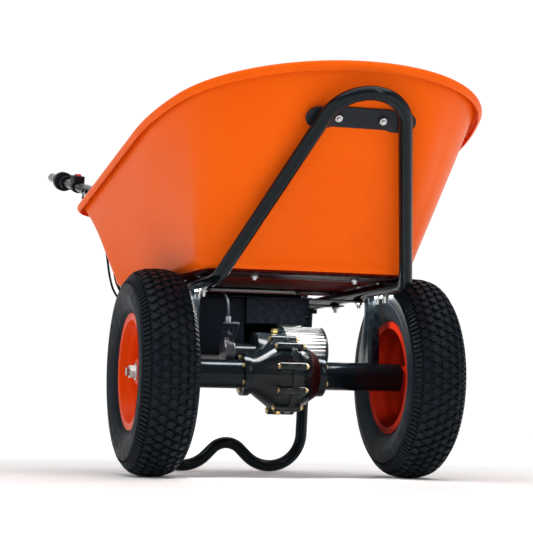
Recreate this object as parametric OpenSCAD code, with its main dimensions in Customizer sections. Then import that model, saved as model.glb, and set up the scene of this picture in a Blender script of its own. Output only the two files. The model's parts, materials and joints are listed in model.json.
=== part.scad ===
// Two-wheeled power wheelbarrow: steel tub on a bent-tube frame, electric transaxle under it.
// Row frame: X forward, Y to the machine's left, Z up, ground at z = 0.
// Positions inside the modules are measured from the point on the ground under the axle.

/* [Overall] */
// Distance from the overall box's centre forward to the axle
axle_x = 240; // [236:1:244]
// Height of the tub floor's underside
floor_z = 387; // [387:1:390]
// Height of the rim plane above the axle
rim_z = 634; // [628:2:640]
// Rise of the rim plane per millimetre forward
rim_rise = 0.16; // [0.14:0.01:0.18]

/* [Tub] */
// Sheet thickness of the tub
sheet = 2; // [2:0.5:3]
// Radius of the rolled rim
bead_r = 9; // [8:0.5:10]
// Outward belly of the front panel
front_belly = 28; // [22:2:32]

/* [Frame tube] */
// Outside diameter of hoop, rails and stand
tube_d = 25.4; // [25.4:0.1:26]
// Wall of the frame tube
tube_wall = 1.4; // [1.2:0.1:1.4]
// Half distance between the rails
rail_y = 184; // [182:1:186]
// Height of the rail centres
rail_z = 371; // [370:0.5:371]
// Bend radius of the frame tube
bend_r = 50; // [45:5:55]
// Outside diameter of the handle tubes
handle_d = 22.2; // [22:0.1:22.2]

/* [Wheels] */
// Outside diameter of the tyre
tyre_d = 400; // [396:1:400]
// Width of the tyre
tyre_w = 114; // [106:1:116]
// Half distance between the wheels' centre planes
wheel_y = 264; // [262:1:268]
// Diameter of the rim flange
rim_d = 226; // [220:1:228]
// Diameter of the half shafts
shaft_d = 20; // [18:1:20]

/* [Transaxle] */
// Module of the final drive gears
final_m = 1.75; // [1.75:0.25:1.75]
// Teeth on the ring gear
ring_z = 62; // [62:1:62]
// Teeth on the countershaft pinion
pinion_z = 11; // [11:1:11]
// Module of the first stage gears
first_m = 1.25; // [1.25:0.25:1.25]
// Teeth on the countershaft gear
counter_z = 54; // [54:1:54]
// Teeth on the motor pinion
motor_z = 10; // [10:1:10]
// Outside diameter of the axle tubes
axle_tube_d = 56; // [54:1:58]
// Outside diameter of the motor over its fins
motor_d = 100; // [92:2:100]

/* [Hidden] */
orange = [0.95, 0.36, 0.05];
black = [0.08, 0.09, 0.10];
zinc = [0.75, 0.75, 0.72];
steel = [0.62, 0.63, 0.65];
rubber = [0.10, 0.11, 0.13];
fine = 96;
fit = 0.05;                    // radial running clearance
wheel_r = tyre_d / 2;
shaft_r = shaft_d / 2;
tube_r = tube_d / 2;
handle_r = handle_d / 2;
tube_sides = 24;

// ---------- tub outlines: one half, from the nose round to the rear, normals turning 0 to 180 ----------
nose_c = [206, 0];
nose_r = 307;
nose_end = 74;
side_r = 867;
side_end = 88.5;
rear_c = [-412, 290];
rear_r = 55;
front_half = 100;              // half width of the flat front panel
floor_front_c = [122, 144];
floor_front_r = 72;
floor_side_end = 82;
floor_rear_c = [-305, 233];
floor_rear_r = 45;
floor_round = 20;              // outer radius between floor and wall
waist = 10;                    // how far the floor's flank bows in beside the wheel
side_belly = -5;
front_steps = 4;
corner_steps = 10;
side_steps = 5;
flank_steps = 3;
rear_steps = 6;
wall_steps = [0, 0.2, 0.4, 0.55, 0.68, 0.8, 0.9, 0.97];
top_in = 2 * bead_r - sheet;   // the wall's outside stands this far inside the rim outline

function dir(a) = [cos(a), sin(a)];
function arc(c, r, a0, a1, n) = [for (i = [0:n]) c + r * dir(a0 + (a1 - a0) * i / n)];
function between(a, b, n) = [for (i = [1:n]) a + (b - a) * i / n];
function last(v) = v[len(v) - 1];
function tail(v) = [for (i = [1:len(v) - 1]) v[i]];
function mirrored(half) = concat(half, [for (i = [len(half) - 2:-1:1]) [half[i].x, -half[i].y]]);

function rim_half(o) =
  let (split = asin(front_half / nose_r),
    side_c = nose_c + (nose_r - side_r) * dir(nose_end),
    nose = arc(nose_c, nose_r + o, 0, split, front_steps),
    corner = tail(arc(nose_c, nose_r + o, split, nose_end, corner_steps)),
    side = tail(arc(side_c, side_r + o, nose_end, side_end, side_steps)),
    rear = arc(rear_c, rear_r + o, side_end, 180, rear_steps),
    back = [last(rear).x, 0])
  concat(nose, corner, side, between(last(side), rear[0], flank_steps), tail(rear), [back]);

function floor_half(o) =
  let (front = [floor_front_c.x + floor_front_r + o, 0],
    corner = arc(floor_front_c, floor_front_r + o, 0, floor_side_end, corner_steps),
    rear = arc(floor_rear_c, floor_rear_r + o, floor_side_end, 180, rear_steps),
    n = side_steps + flank_steps, straight = between(last(corner), rear[0], n),
    flank = [for (i = [0:n - 1]) straight[i] - [0, waist * sin(180 * (i + 1) / n)]],
    back = [last(rear).x, 0])
  concat([front], between(front, corner[0], front_steps), tail(corner), flank, tail(rear), [back]);

// Goes smoothly from 1 at |y| = front_half to 0 at twice that
function flat_share(y) =
  let (t = max(0, min(1, abs(y) / front_half - 1))) 1 - t * t * (3 - 2 * t);

// One ring of the tub wall at height fraction k, o outside the sheet's outer face
function wall_ring(k, o) =
  let (low = mirrored(floor_half(o)), high = mirrored(rim_half(o - top_in)), nose = high[0].x)
  [for (i = [0:len(low) - 1])
    let (p = low[i], belly = sin(180 * pow(k, 1.6)), flat = flat_share(high[i].y) * (1 - pow(k, 3)),
      q = [high[i].x > 150 ? high[i].x + (nose - high[i].x) * flat : high[i].x, high[i].y],
      ahead = max(0, (q.x - 150) / 360),
      xy = p + (q - p) * k + [front_belly * belly * ahead, side_belly * belly * sign(q.y) * (1 - ahead)],
      z0 = floor_z + floor_round, z1 = rim_z + rim_rise * q.x)
    [xy.x, xy.y, z0 + (z1 - z0) * k]];

// A ring of the floor's rounded edge, of radius r, turned a from straight down
function floor_ring(r, a) =
  [for (p = mirrored(floor_half(r * sin(a) - floor_round))) [p.x, p.y, floor_z + floor_round - r * cos(a)]];

// A ring on the rolled rim: r from the roll's centre, turned a from straight out
function roll_ring(r, a) =
  [for (p = mirrored(rim_half(-bead_r + r * cos(a)))) [p.x, p.y, rim_z + rim_rise * p.x + r * sin(a)]];

tub_rings = concat(
  [for (a = [0, 30, 60]) floor_ring(floor_round, a)],
  [for (k = wall_steps) wall_ring(k, 0)],
  [for (a = [180, 135, 90, 45, 0, -45, -75]) roll_ring(bead_r - sheet, a)],
  [for (a = [-75:37.5:187]) roll_ring(bead_r, a)],
  [for (k = flipped(wall_steps)) wall_ring(k, -sheet)],
  [for (a = [60, 30, 0]) floor_ring(floor_round - sheet, a)]);

// ---------- swept tubes ----------
function unit(v) = v / norm(v);

// Arc points that round the corner p between a and b with radius r
function corner(a, p, b, r, n) =
  let (u = unit(a - p), v = unit(b - p), half = acos(u * v) / 2, turn = 180 - 2 * half,
    c = p + unit(u + v) * r / sin(half), s = p + u * r / tan(half) - c, e = p + v * r / tan(half) - c)
  [for (i = [0:n]) c + (sin(turn * (1 - i / n)) * s + sin(turn * i / n) * e) / sin(turn)];

// A polyline with every inner corner rounded to radii[i]
function rounded(pts, radii, n) =
  concat([pts[0]],
    [for (i = [1:len(pts) - 2]) each corner(pts[i - 1], pts[i], pts[i + 1], radii[i - 1], n)],
    [last(pts)]);

function tangents(p) =
  [for (i = [0:len(p) - 1])
    unit((i == 0 ? [0, 0, 0] : unit(p[i] - p[i - 1])) + (i == len(p) - 1 ? [0, 0, 0] : unit(p[i + 1] - p[i])))];

function across(t) = unit(cross(t, abs(t.z) < 0.9 ? [0, 0, 1] : [0, 1, 0]));

// Rings of radius r along the points p, without twist
function sweep_rings(p, r, sides) =
  let (t = tangents(p))
  [for (i = 0, n = across(t[0]); i < len(p); i = i + 1, n = i < len(p) ? unit(n - (n * t[i]) * t[i]) : n)
    [for (j = [0:sides - 1])
      p[i] + r * (cos(360 * j / sides) * n + sin(360 * j / sides) * cross(t[i], n))]];

function flipped(v) = [for (i = [len(v) - 1:-1:0]) v[i]];

function middle(ring) = [for (p = ring) 1] * ring / len(ring);

// A closed skin over rings; wrap joins the last ring to the first, otherwise both ends are capped
module skin(rings, wrap) {
  n = len(rings[0]);
  m = len(rings);
  sides = [for (i = [0:m - (wrap ? 1 : 2)]) for (j = [0:n - 1])
    [i * n + j, ((i + 1) % m) * n + j, ((i + 1) % m) * n + (j + 1) % n, i * n + (j + 1) % n]];
  caps = wrap ? [] : [for (j = [0:n - 1]) each [[m * n, j, (j + 1) % n],
    [m * n + 1, (m - 1) * n + (j + 1) % n, (m - 1) * n + j]]];
  middles = wrap ? [] : [middle(rings[0]), middle(last(rings))];
  polyhedron(points = concat([for (ring = rings) each ring], middles), faces = concat(sides, caps),
    convexity = 10);
}

module hollow_tube(p, r, wall, sides)
  skin(concat(sweep_rings(p, r, sides), flipped(sweep_rings(p, r - wall, sides))), true);

module solid_cord(p, r, sides)
  skin(sweep_rings(p, r, sides), false);

// ---------- places ----------
// Axis of the wheels, from the ground under it
module at_axle() translate([axle_x, 0, 0]) children();
module at_hub() translate([axle_x, 0, wheel_r]) children();

final_a = final_m * (ring_z + pinion_z) / 2;
first_a = first_m * (counter_z + motor_z) / 2;
counter_angle = 136;
motor_angle = 170;
counter_at = final_a * dir(counter_angle);
motor_at = counter_at + first_a * dir(motor_angle);
gear_y = -13;                  // the gearbox sits this far from the middle
module at_gear() at_hub() translate([0, gear_y, 0]) children();
module at_counter() at_gear() translate([counter_at.x, 0, counter_at.y]) children();
module at_motor() at_gear() translate([motor_at.x, 0, motor_at.y]) children();

// Handle frame: +Z back along the handle from its foot, +X up, +Y left
handle_foot = [-500, 282, 610];
handle_rise = 12;
handle_flare = 3.2;
handle_len = 512;
handle_way = [-cos(handle_rise) * cos(handle_flare), cos(handle_rise) * sin(handle_flare), sin(handle_rise)];
module on_handle(side)
  at_axle() translate([handle_foot.x, side * handle_foot.y, handle_foot.z])
    rotate([0, 0, -side * handle_flare]) rotate([0, handle_rise - 90, 0]) children();

// ---------- shapes ----------
module ycyl(r, y0, y1, fn = fine)
  translate([0, y0, 0]) rotate([-90, 0, 0]) cylinder(r = r, h = y1 - y0, $fn = fn);
module yring(r_out, r_in, y0, y1) difference() {
  ycyl(r_out, y0, y1);
  ycyl(r_in, y0 - 1, y1 + 1);
}
// Solid of revolution about Y from [radius, y] points
module turned(pts) rotate([-90, 0, 0]) rotate_extrude($fn = fine) polygon(pts);
module spin_y(a) rotate([0, -a, 0]) children();
module both_sides() {
  children();
  mirror([0, 1, 0]) children();
}
// Places children round the Y axis at radius r; the angle runs from +X towards +Z
module round_y(r, angles) for (a = angles) spin_y(a) translate([r, 0, 0]) children();
module hex_y(af, y0, y1) ycyl(af / sqrt(3), y0, y1, 6);

// Bolt along -Z: domed head above z = 0, shank down to -len, nut at the end
module coach_bolt(d, len, grip) {
  difference() {
    translate([0, 0, -0.6 * d]) cylinder(r = 1.1 * d, h = 1.1 * d, $fn = 48);
    translate([0, 0, -2 * d]) cylinder(r = 2 * d, h = 2 * d, $fn = 48);
  }
  translate([0, 0, -len]) cylinder(d = d, h = len, $fn = 32);
  translate([0, 0, -grip - 0.8 * d]) difference() {
    cylinder(r = 1.6 * d / sqrt(3), h = 0.8 * d, $fn = 6);
    translate([0, 0, -1]) cylinder(d = d, h = d + 2, $fn = 32);
  }
}

// Deep-groove bearing as one ring with its seal recesses
module bearing(bore_r, out_r, y0, y1) {
  q = (out_r - bore_r) / 4;
  turned([[bore_r + fit, y0], [bore_r + q, y0], [bore_r + q, y0 + 0.6], [out_r - q, y0 + 0.6], [out_r - q, y0],
    [out_r, y0], [out_r, y1], [out_r - q, y1], [out_r - q, y1 - 0.6], [bore_r + q, y1 - 0.6],
    [bore_r + q, y1], [bore_r + fit, y1]]);
}

// ---------- gears ----------
pressure = 25;
addendum = 0.85;
dedendum = 1.1;
thin = 0.05;                   // share of the tooth thickness given to backlash
function inv(a) = tan(a) * 180 / PI - a;
// Half of the angle that a tooth spans at radius rho
function half_tooth(m, z, rho) =
  let (rb = m * z / 2 * cos(pressure), a = rho > rb ? acos(rb / rho) : 0)
  90 / z * (1 - thin) + inv(pressure) - inv(a);
// Outline with a tooth centred on angle 0, o outside the pitch circle's own tip and root
function gear_outline(m, z) =
  let (root = m * z / 2 - dedendum * m, tip = m * z / 2 + addendum * m)
  [for (t = [0:z - 1]) each concat(
    [for (k = [0:3]) let (rho = root + (tip - root) * k / 3) rho * dir(360 * t / z - half_tooth(m, z, rho))],
    [for (k = [3:-1:0]) let (rho = root + (tip - root) * k / 3) rho * dir(360 * t / z + half_tooth(m, z, rho))])];
// Spur gear between y0 and y1, a tooth at angle phase in the XZ plane
module spur(m, z, y0, y1, phase)
  translate([0, y1, 0]) rotate([90, 0, 0]) linear_extrude(y1 - y0) rotate(phase) polygon(gear_outline(m, z));
// Bevel gear: pitch radius m z / 2 at its back plane z = 0, teeth narrowing towards +Z
module bevel(m, z, mate_z, face, phase)
  linear_extrude(face, scale = 1 - face * z / mate_z / (m * z / 2)) rotate(phase) polygon(gear_outline(m, z));

// ---------- tub and frame ----------
module tub_holes() {
  for (p = bolt_places)
    translate([p.x, p.y, floor_z - 5]) cylinder(r = bolt_d / 2 + 0.2, h = 20, $fn = 32);
  for (s = [-1, 1])
    on_panel() translate([0, s * strap_bolt_y, -10]) cylinder(r = bolt_d / 2 + 0.2, h = 20, $fn = 32);
}
bolt_d = 8;
rail_bolt_x = [80, 40, -75, -225];
strap_bolt_x = [140, -225];
strap_hole_y = 100;
strap_bolt_y = 41;
bolt_places = concat([for (x = rail_bolt_x) for (s = [-1, 1]) [x, s * rail_y]],
  [for (x = strap_bolt_x) for (s = [-1, 1]) [x, s * strap_hole_y]]);
// A frame on the front panel's outer face behind the strap: +Z outward, +X up the slope
panel_at = [445.5, 0, 637.1];
panel_slope = 49.6;
panel_gap = 1.3;               // most that the sheet stands behind this frame at the bolts
module on_panel() translate(panel_at) rotate([0, 180 - panel_slope, 0]) mirror([1, 0, 0]) children();

module tub() color(orange) at_axle() difference() {
  skin(tub_rings, false);
  tub_holes();
}

hoop_end_x = 60;
hoop_foot = [193, rail_y, rail_z];
hoop_peak = [662.6, 0, 799.5]; // where the two legs would meet
hoop_arc_r = 76;
module side_bolt_holes(xs) for (x = xs) for (s = [-1, 1])
  translate([x, s * rail_y, rail_z - 30]) cylinder(r = bolt_d / 2 + 0.2, h = 60, $fn = 32);

module front_hoop() color(black) at_axle() difference() {
  hollow_tube(concat(
    rounded([[hoop_end_x, rail_y, rail_z], hoop_foot, (hoop_foot + hoop_peak) / 2], [bend_r], 5),
    corner(hoop_foot, hoop_peak, [hoop_foot.x, -hoop_foot.y, rail_z], hoop_arc_r, 14),
    flipped(rounded([[hoop_end_x, -rail_y, rail_z], [hoop_foot.x, -hoop_foot.y, rail_z],
      ([hoop_foot.x, -hoop_foot.y, rail_z] + hoop_peak) / 2], [bend_r], 5))),
    tube_r, tube_wall, tube_sides);
  side_bolt_holes([80]);
}

strap_t = 4;
strap_w = 40;
strap_flat = 50;
strap_ramp = 12;
strap_step = 7;
strap_reach = 101;
module hoop_strap() color(black) at_axle() on_panel() difference() {
  intersection() {
    translate([-strap_w / 2, 0, 0]) rotate([90, 0, 90]) linear_extrude(strap_w) polygon([
      [-strap_reach, strap_step], [-strap_flat - strap_ramp, strap_step], [-strap_flat, 0], [strap_flat, 0],
      [strap_flat + strap_ramp, strap_step], [strap_reach, strap_step], [strap_reach, strap_step + strap_t],
      [strap_flat + strap_ramp - 1, strap_step + strap_t], [strap_flat - 1, strap_t], [1 - strap_flat, strap_t],
      [1 - strap_flat - strap_ramp, strap_step + strap_t], [-strap_reach, strap_step + strap_t]]);
    union() {
      translate([-strap_w / 2, strap_w / 2 - strap_reach, -1]) cube([strap_w, 2 * strap_reach - strap_w, 20]);
      for (s = [-1, 1])
        translate([0, s * (strap_reach - strap_w / 2), -1]) cylinder(d = strap_w, h = 20, $fn = 64);
    }
  }
  for (s = [-1, 1])
    translate([0, s * strap_bolt_y, -1]) cylinder(r = bolt_d / 2 + 0.2, h = 10, $fn = 32);
}

module tub_bolts() color(zinc) at_axle() {
  for (x = rail_bolt_x) for (s = [-1, 1])
    translate([x, s * rail_y, floor_z + sheet]) coach_bolt(bolt_d, 46, floor_z + sheet - rail_z + tube_r +
      (x < 0 ? hanger_t : 0));
  for (x = strap_bolt_x) for (s = [-1, 1])
    translate([x, s * strap_hole_y, floor_z + sheet]) coach_bolt(bolt_d, 16, sheet + cross_t);
  for (s = [-1, 1])
    on_panel() translate([0, s * strap_bolt_y, -sheet - panel_gap]) rotate([180, 0, 0])
      coach_bolt(bolt_d, 18, sheet + panel_gap + strap_t);
}

splice_half = 42;
module tube_splices() color(steel) at_axle() both_sides() difference() {
  translate([hoop_end_x - splice_half, rail_y, rail_z]) rotate([0, 90, 0]) difference() {
    cylinder(r = handle_r, h = 2 * splice_half, $fn = fine);
    translate([0, 0, -1]) cylinder(r = handle_r - 2, h = 2 * splice_half + 2, $fn = fine);
  }
  side_bolt_holes([40, 80]);
}

rail_rise = [-500, rail_y, rail_z];
socket_end = 125;              // how far the rail reaches along the handle
function left_rail() = rounded([[hoop_end_x, rail_y, rail_z], rail_rise, handle_foot,
  handle_foot + socket_end * handle_way], [bend_r, bend_r], 7);
module rail_tube() difference() {
  hollow_tube(left_rail(), tube_r, tube_wall, tube_sides);
  side_bolt_holes([40, -75, -225]);
  translate([stand_x, rail_y, rail_z]) for (dx = [-saddle_bolt, saddle_bolt])
    translate([dx, 0, -20]) cylinder(r = 3.2, h = 40, $fn = 32);
}
module rail_left() color(black) difference() {
  at_axle() rail_tube();
  socket_holes(1);
}
module rail_right() color(black) difference() {
  at_axle() mirror([0, 1, 0]) rail_tube();
  socket_holes(-1);
}
socket_bolts = [75, 105];
module socket_holes(side) on_handle(side) for (s = socket_bolts)
  translate([0, -30, s]) rotate([-90, 0, 0]) cylinder(r = 3.2, h = 60, $fn = 32);

handle_start = 58;
module handle_tube(side) color(black) difference() {
  on_handle(side) translate([0, 0, handle_start]) difference() {
    cylinder(r = handle_r, h = handle_len - handle_start, $fn = fine);
    translate([0, 0, -1]) cylinder(r = handle_r - 1.5, h = handle_len - handle_start + 2, $fn = fine);
  }
  socket_holes(side);
}
module handle_left() handle_tube(1);
module handle_right() handle_tube(-1);

// M6 hex bolt along +Y from head at y = 0 to nut at y = grip
module m6_bolt(grip) {
  hex_y(10, -4, 0);
  ycyl(3, 0, grip + 7, 32);
  difference() {
    hex_y(10, grip, grip + 5);
    ycyl(3, grip - 1, grip + 6, 32);
  }
}
module frame_bolts() color(zinc) {
  for (side = [-1, 1]) on_handle(side) for (s = socket_bolts)
    translate([0, -tube_r, s]) m6_bolt(tube_d);
  at_axle() both_sides() translate([stand_x, rail_y, rail_z + tube_r]) for (dx = [-saddle_bolt, saddle_bolt])
    translate([dx, 0, 0]) rotate([-90, 0, 0]) m6_bolt(tube_d + saddle_floor);
}

cross_t = floor_z - rail_z - tube_r;
front_strap = [60, 171];
rear_strap = [-250, -200];
module strap_plate(span) translate([span[0], -200, floor_z - cross_t]) cube([span[1] - span[0], 400, cross_t]);
module cross_straps() color(black) at_axle() difference() {
  union() {
    strap_plate(front_strap);
    strap_plate(rear_strap);
  }
  tub_holes();
}

upright_y = 186;
upright_w = 24;
upright_top = 24;
upright_foot = 58;
upright_t = 3;
module upright_side() polygon([[-upright_top / 2, rail_z - tube_r - 0.2], [-upright_top / 2, 318],
  [upright_top / 2 - upright_foot, 246], [upright_top / 2 - upright_foot, 222], [upright_top / 2, 222],
  [upright_top / 2, rail_z - tube_r - 0.2]]);
module upright_pocket() polygon([[upright_t - upright_top / 2, 400], [upright_t - upright_top / 2, 318],
  [upright_top / 2 - upright_foot + upright_t, 246], [upright_top / 2 - upright_foot + upright_t, 200],
  [upright_top / 2 - upright_t, 200], [upright_top / 2 - upright_t, 400]]);
module uprights() color(black) at_axle() both_sides() difference() {
  translate([0, upright_y + upright_w / 2, 0]) rotate([90, 0, 0]) linear_extrude(upright_w) upright_side();
  translate([0, upright_y + upright_w / 2 + 1, 0]) rotate([90, 0, 0])
    linear_extrude(upright_w - upright_t + 1) upright_pocket();
  translate([0, 0, wheel_r]) ycyl(axle_tube_d / 2 + fit, 150, 230);
}

stand_x = -423;
stand_foot = [166.4, -84.1];     // Y and Z where the leg line meets the foot line
stand_hump_z = 79.9;
stand_bends = [74, 44, 74];
stand_top = rail_z - tube_r - 6;
saddle_bolt = 19;
saddle_half = 26;
saddle_floor = 6;
module rear_stand() color(black) at_axle() difference() {
  hollow_tube(rounded([[stand_x, rail_y, stand_top + 2], [stand_x, stand_foot.x, stand_foot.y],
    [stand_x, 0, stand_hump_z], [stand_x, -stand_foot.x, stand_foot.y], [stand_x, -rail_y, stand_top + 2]],
    stand_bends, 7), tube_r, tube_wall, tube_sides);
  translate([stand_x - 50, -300, -20]) cube([100, 600, 20]);
  translate([stand_x - 50, -300, stand_top]) cube([100, 600, 20]);
}
module stand_saddles() color(black) at_axle() both_sides() difference() {
  translate([stand_x - saddle_half, rail_y - 15, rail_z - tube_r - saddle_floor]) cube([2 * saddle_half, 30, 14]);
  translate([stand_x - 30, rail_y, rail_z]) rotate([0, 90, 0]) cylinder(r = tube_r + fit, h = 60, $fn = fine);
  for (dx = [-saddle_bolt, saddle_bolt])
    translate([stand_x + dx, rail_y, rail_z - 40]) cylinder(r = 3.2, h = 40, $fn = 32);
}

// ---------- transaxle housings ----------
seam_y = 19;
case_r = 70;
cavity_r = 62;
flange_r = 75;
right_end = -59;
left_end = 57;
ring_end = 78;
arm_r = 42;
arm_cavity_r = 37;
seat_r = 23.55;
counter_seat_r = 14.05;
pass_r = 14;
lug_angles = [-140, -102, -64, -26, 12, 50, 92];
lug_r = 71;
lug_start = -12;
lug_end = 38;
spot_r = 6.6;                  // spot face for the lug screws' heads and nuts
motor_face = 28;

module lug_bores() round_y(lug_r, lug_angles) ycyl(3.2, lug_start - 4, lug_end + 4, 32);

// Each shell is made long at the seam and cut there in one plane
module gearbox_case() color(black) difference() {
  union() {
    at_gear() turned([[0, right_end], [38, right_end], [38, -51], [case_r, -8], [case_r, 13],
      [flange_r, 13], [flange_r, seam_y + 2], [0, seam_y + 2]]);
    at_counter() ycyl(arm_r, -34, seam_y + 3);
    at_counter() ycyl(19, -80, -33);
    at_motor() ycyl(26, -6, seam_y + 4);
    at_gear() round_y(lug_r, lug_angles) ycyl(8, lug_start - 1, seam_y + 5, 48);
  }
  at_gear() ycyl(200, seam_y, seam_y + 10);
  at_gear() turned([[0, seam_y + 1], [cavity_r, seam_y + 1], [cavity_r, -8], [58, -14.5], [34, -38], [seat_r, -40],
    [seat_r, -49.2], [pass_r, -49.2], [pass_r, right_end - 1], [0, right_end - 1]]);
  at_counter() ycyl(arm_cavity_r, -28, seam_y + 1);
  at_counter() ycyl(counter_seat_r, -35.2, -27);
  at_counter() ycyl(11, -81, -30);
  at_counter() ycyl(counter_seat_r, -81, -72.8);
  at_motor() ycyl(12, 4, seam_y + 1);
  at_gear() lug_bores();
  at_gear() round_y(lug_r, lug_angles) ycyl(spot_r, -30, lug_start, 48);
  at_gear() drain_place() ycyl(5.05, -12, 1, 48);
  at_counter() fill_place() ycyl(5.05, -10, 1, 48);
  at_gear() round_y(flange_bolt_r, flange_angles) ycyl(2.45, right_end - 1, right_end + 9, 32);
}

module gearbox_cover() color(black) difference() {
  union() {
    difference() {
      union() {
        at_gear() turned([[0, seam_y - 2], [flange_r, seam_y - 2], [flange_r, 25], [case_r, 25],
          [case_r, 33], [58, left_end], [0, left_end]]);
        at_counter() ycyl(arm_r, seam_y - 3, motor_face);
        at_motor() ycyl(motor_d / 2, seam_y - 4, motor_face);
        at_gear() round_y(lug_r, lug_angles) ycyl(8, seam_y - 5, lug_end + 1, 48);
      }
      at_gear() ycyl(200, seam_y - 10, seam_y);
    }
    at_gear() ycyl(27.5, 4, seam_y + 8);
  }
  at_gear() turned([[27.5, seam_y - 1], [cavity_r, seam_y - 1], [cavity_r, 22], [42, 26], [27.5, 26]]);
  at_gear() turned([[0, 3], [seat_r, 3], [seat_r, 13.2], [pass_r, 13.2], [pass_r, left_end + 1],
    [0, left_end + 1]]);
  at_counter() ycyl(arm_cavity_r, seam_y - 1, 20);
  at_counter() ycyl(counter_seat_r, 19, 26.2);
  at_motor() ycyl(11, seam_y - 1, motor_face + 1);
  at_motor() ycyl(motor_d / 2 + 1.5, motor_face, left_end + 1);
  at_motor() round_y(motor_bolt_r, motor_bolt_angles) ycyl(3.2, seam_y - 1, motor_face + 1, 32);
  at_gear() lug_bores();
  at_gear() round_y(lug_r, lug_angles) ycyl(spot_r, lug_end, 60, 48);
  at_gear() round_y(flange_bolt_r, flange_angles) ycyl(2.45, left_end - 9, left_end + 1, 32);
}

module spacer_ring() color([0.16, 0.05, 0.05]) at_gear() difference() {
  turned([[pass_r, left_end], [57, left_end], [43, ring_end], [pass_r, ring_end]]);
  translate([motor_at.x, 0, motor_at.y]) ycyl(motor_d / 2 + 1.5, left_end - 1, ring_end + 1);
  round_y(flange_bolt_r, flange_angles) ycyl(2.7, left_end - 1, ring_end + 1, 32);
}

flange_bolt_r = 33;
flange_angles = [30:60:330];
tube_wall_axle = 4.4;
module axle_tube(y0, y1, flange_t, flange_out) difference() {
  union() {
    ycyl(axle_tube_d / 2, y0, y1);
    ycyl(flange_out, y0, y0 + flange_t);
  }
  ycyl(axle_tube_d / 2 - tube_wall_axle, y0 - 1, y1 + 1);
  round_y(flange_bolt_r, flange_angles) ycyl(2.7, y0 - 1, y0 + flange_t + 1, 32);
}
axle_tube_end = 243;
right_flange = 14;             // thickness of the right tube's flange
left_flange = 15;
module axle_tube_left() color(black) at_hub() axle_tube(ring_end + gear_y, axle_tube_end, left_flange, 41);
module axle_tube_right() color(black) at_hub() mirror([0, 1, 0])
  axle_tube(-right_end - gear_y, axle_tube_end, right_flange, 42);

// Machine screw along +Y: head below y = 0, shank to len
module screw(d, len) {
  hex_y(1.62 * d, -0.75 * d, 0);
  ycyl(d / 2 - 0.1, 0, len, 32);
}
module gearbox_bolts() color([0.72, 0.58, 0.25]) {
  at_gear() round_y(lug_r, lug_angles) {
    translate([0, lug_start, 0]) screw(6, lug_end - lug_start + 8);
    difference() {
      hex_y(10, lug_end, lug_end + 5);
      ycyl(2.9, lug_end - 1, lug_end + 6, 32);
    }
  }
  at_gear() round_y(flange_bolt_r, flange_angles) {
    translate([0, right_end - right_flange, 0]) screw(5, right_flange + 8);
    translate([0, ring_end + left_flange, 0]) mirror([0, 1, 0]) screw(5, ring_end + left_flange - left_end + 8);
  }
  at_motor() round_y(motor_bolt_r, motor_bolt_angles)
    translate([0, seam_y, 0]) screw(6, 14);
}

module drain_place() spin_y(-83) translate([case_r, 0, 0]) rotate([0, 0, -90]) children();
module fill_place() spin_y(80) translate([arm_r - 0.3, 6, 0]) rotate([0, 0, -90]) children();
module plug() {
  ycyl(5, -5, 0.5, 48);
  ycyl(8, 0.5, 2.5, 48);
  hex_y(13, 2.5, 8);
}
module gearbox_plugs() color([0.80, 0.62, 0.20]) {
  at_gear() drain_place() plug();
  at_counter() fill_place() plug();
}

module drive_bearings() color(steel) {
  at_gear() bearing(15, 23.5, -49, -40);
  at_gear() bearing(15, 23.5, 4, 13);
  at_counter() bearing(7.5, 14, -35, -28);
  at_counter() bearing(7.5, 14, 19.2, 26);
  at_counter() bearing(7.5, 14, -80, -73);
  at_motor() bearing(5, 9.5, motor_face, cap_front);
  at_motor() bearing(5, 8, cap_rear, cap_rear + 5);
}
module axle_bearings() color(steel) at_hub() both_sides() bearing(shaft_r, 23.5, 227, 241);

// ---------- motor ----------
motor_end = 122;
cap_front = 34;
cap_rear = 114;
motor_bolt_r = 34;
motor_bolt_angles = [100, 165, 230];
stator_r = 38;
fins = 40;
terminal = [[-58, 66, -9], [-44, 84, 9]];
module motor_housing() color(zinc) at_motor() difference() {
  union() {
    translate([0, cap_rear, 0]) rotate([90, 0, 0]) linear_extrude(cap_rear - cap_front) union() {
      circle(r = motor_d / 2 - 5, $fn = fine);
      for (i = [0:fins - 1]) rotate(360 * i / fins) translate([motor_d / 2 - 6.5, -1.2]) square([6.5, 2.4]);
    }
    block(terminal);
  }
  ycyl(stator_r + fit, cap_front - 1, cap_rear + 1);
}
module motor_end_caps() color(black) at_motor() {
  difference() {
    ycyl(motor_d / 2, motor_face, cap_front);
    ycyl(9.55, motor_face - 1, cap_front + 1);
    round_y(motor_bolt_r, motor_bolt_angles) ycyl(2.95, motor_face - 1, motor_face + 5.2, 32);
  }
  difference() {
    turned([[0, cap_rear], [motor_d / 2, cap_rear], [motor_d / 2, cap_rear + 4], [44, motor_end], [0, motor_end]]);
    ycyl(8.05, cap_rear - 1, cap_rear + 5.2);
  }
}
slots = 12;
module motor_stator() color([0.45, 0.25, 0.15]) at_motor() difference() {
  ycyl(stator_r, 44, 104);
  ycyl(24, 43, 105);
  round_y(24, [for (i = [0:slots - 1]) 360 * i / slots]) translate([-3, 43, -2]) cube([10, 62, 4]);
}
motor_phase = motor_angle + 180 + 180 / motor_z;
module motor_rotor() color(steel) at_motor() {
  turned([[0, 4.5], [4.6, 4.5], [4.6, 20], [5, 20], [5, 44], [23.2, 44], [23.2, 104], [5, 104],
    [5, 119], [0, 119]]);
  spur(first_m, motor_z, 8, 18, motor_phase);
}

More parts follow.
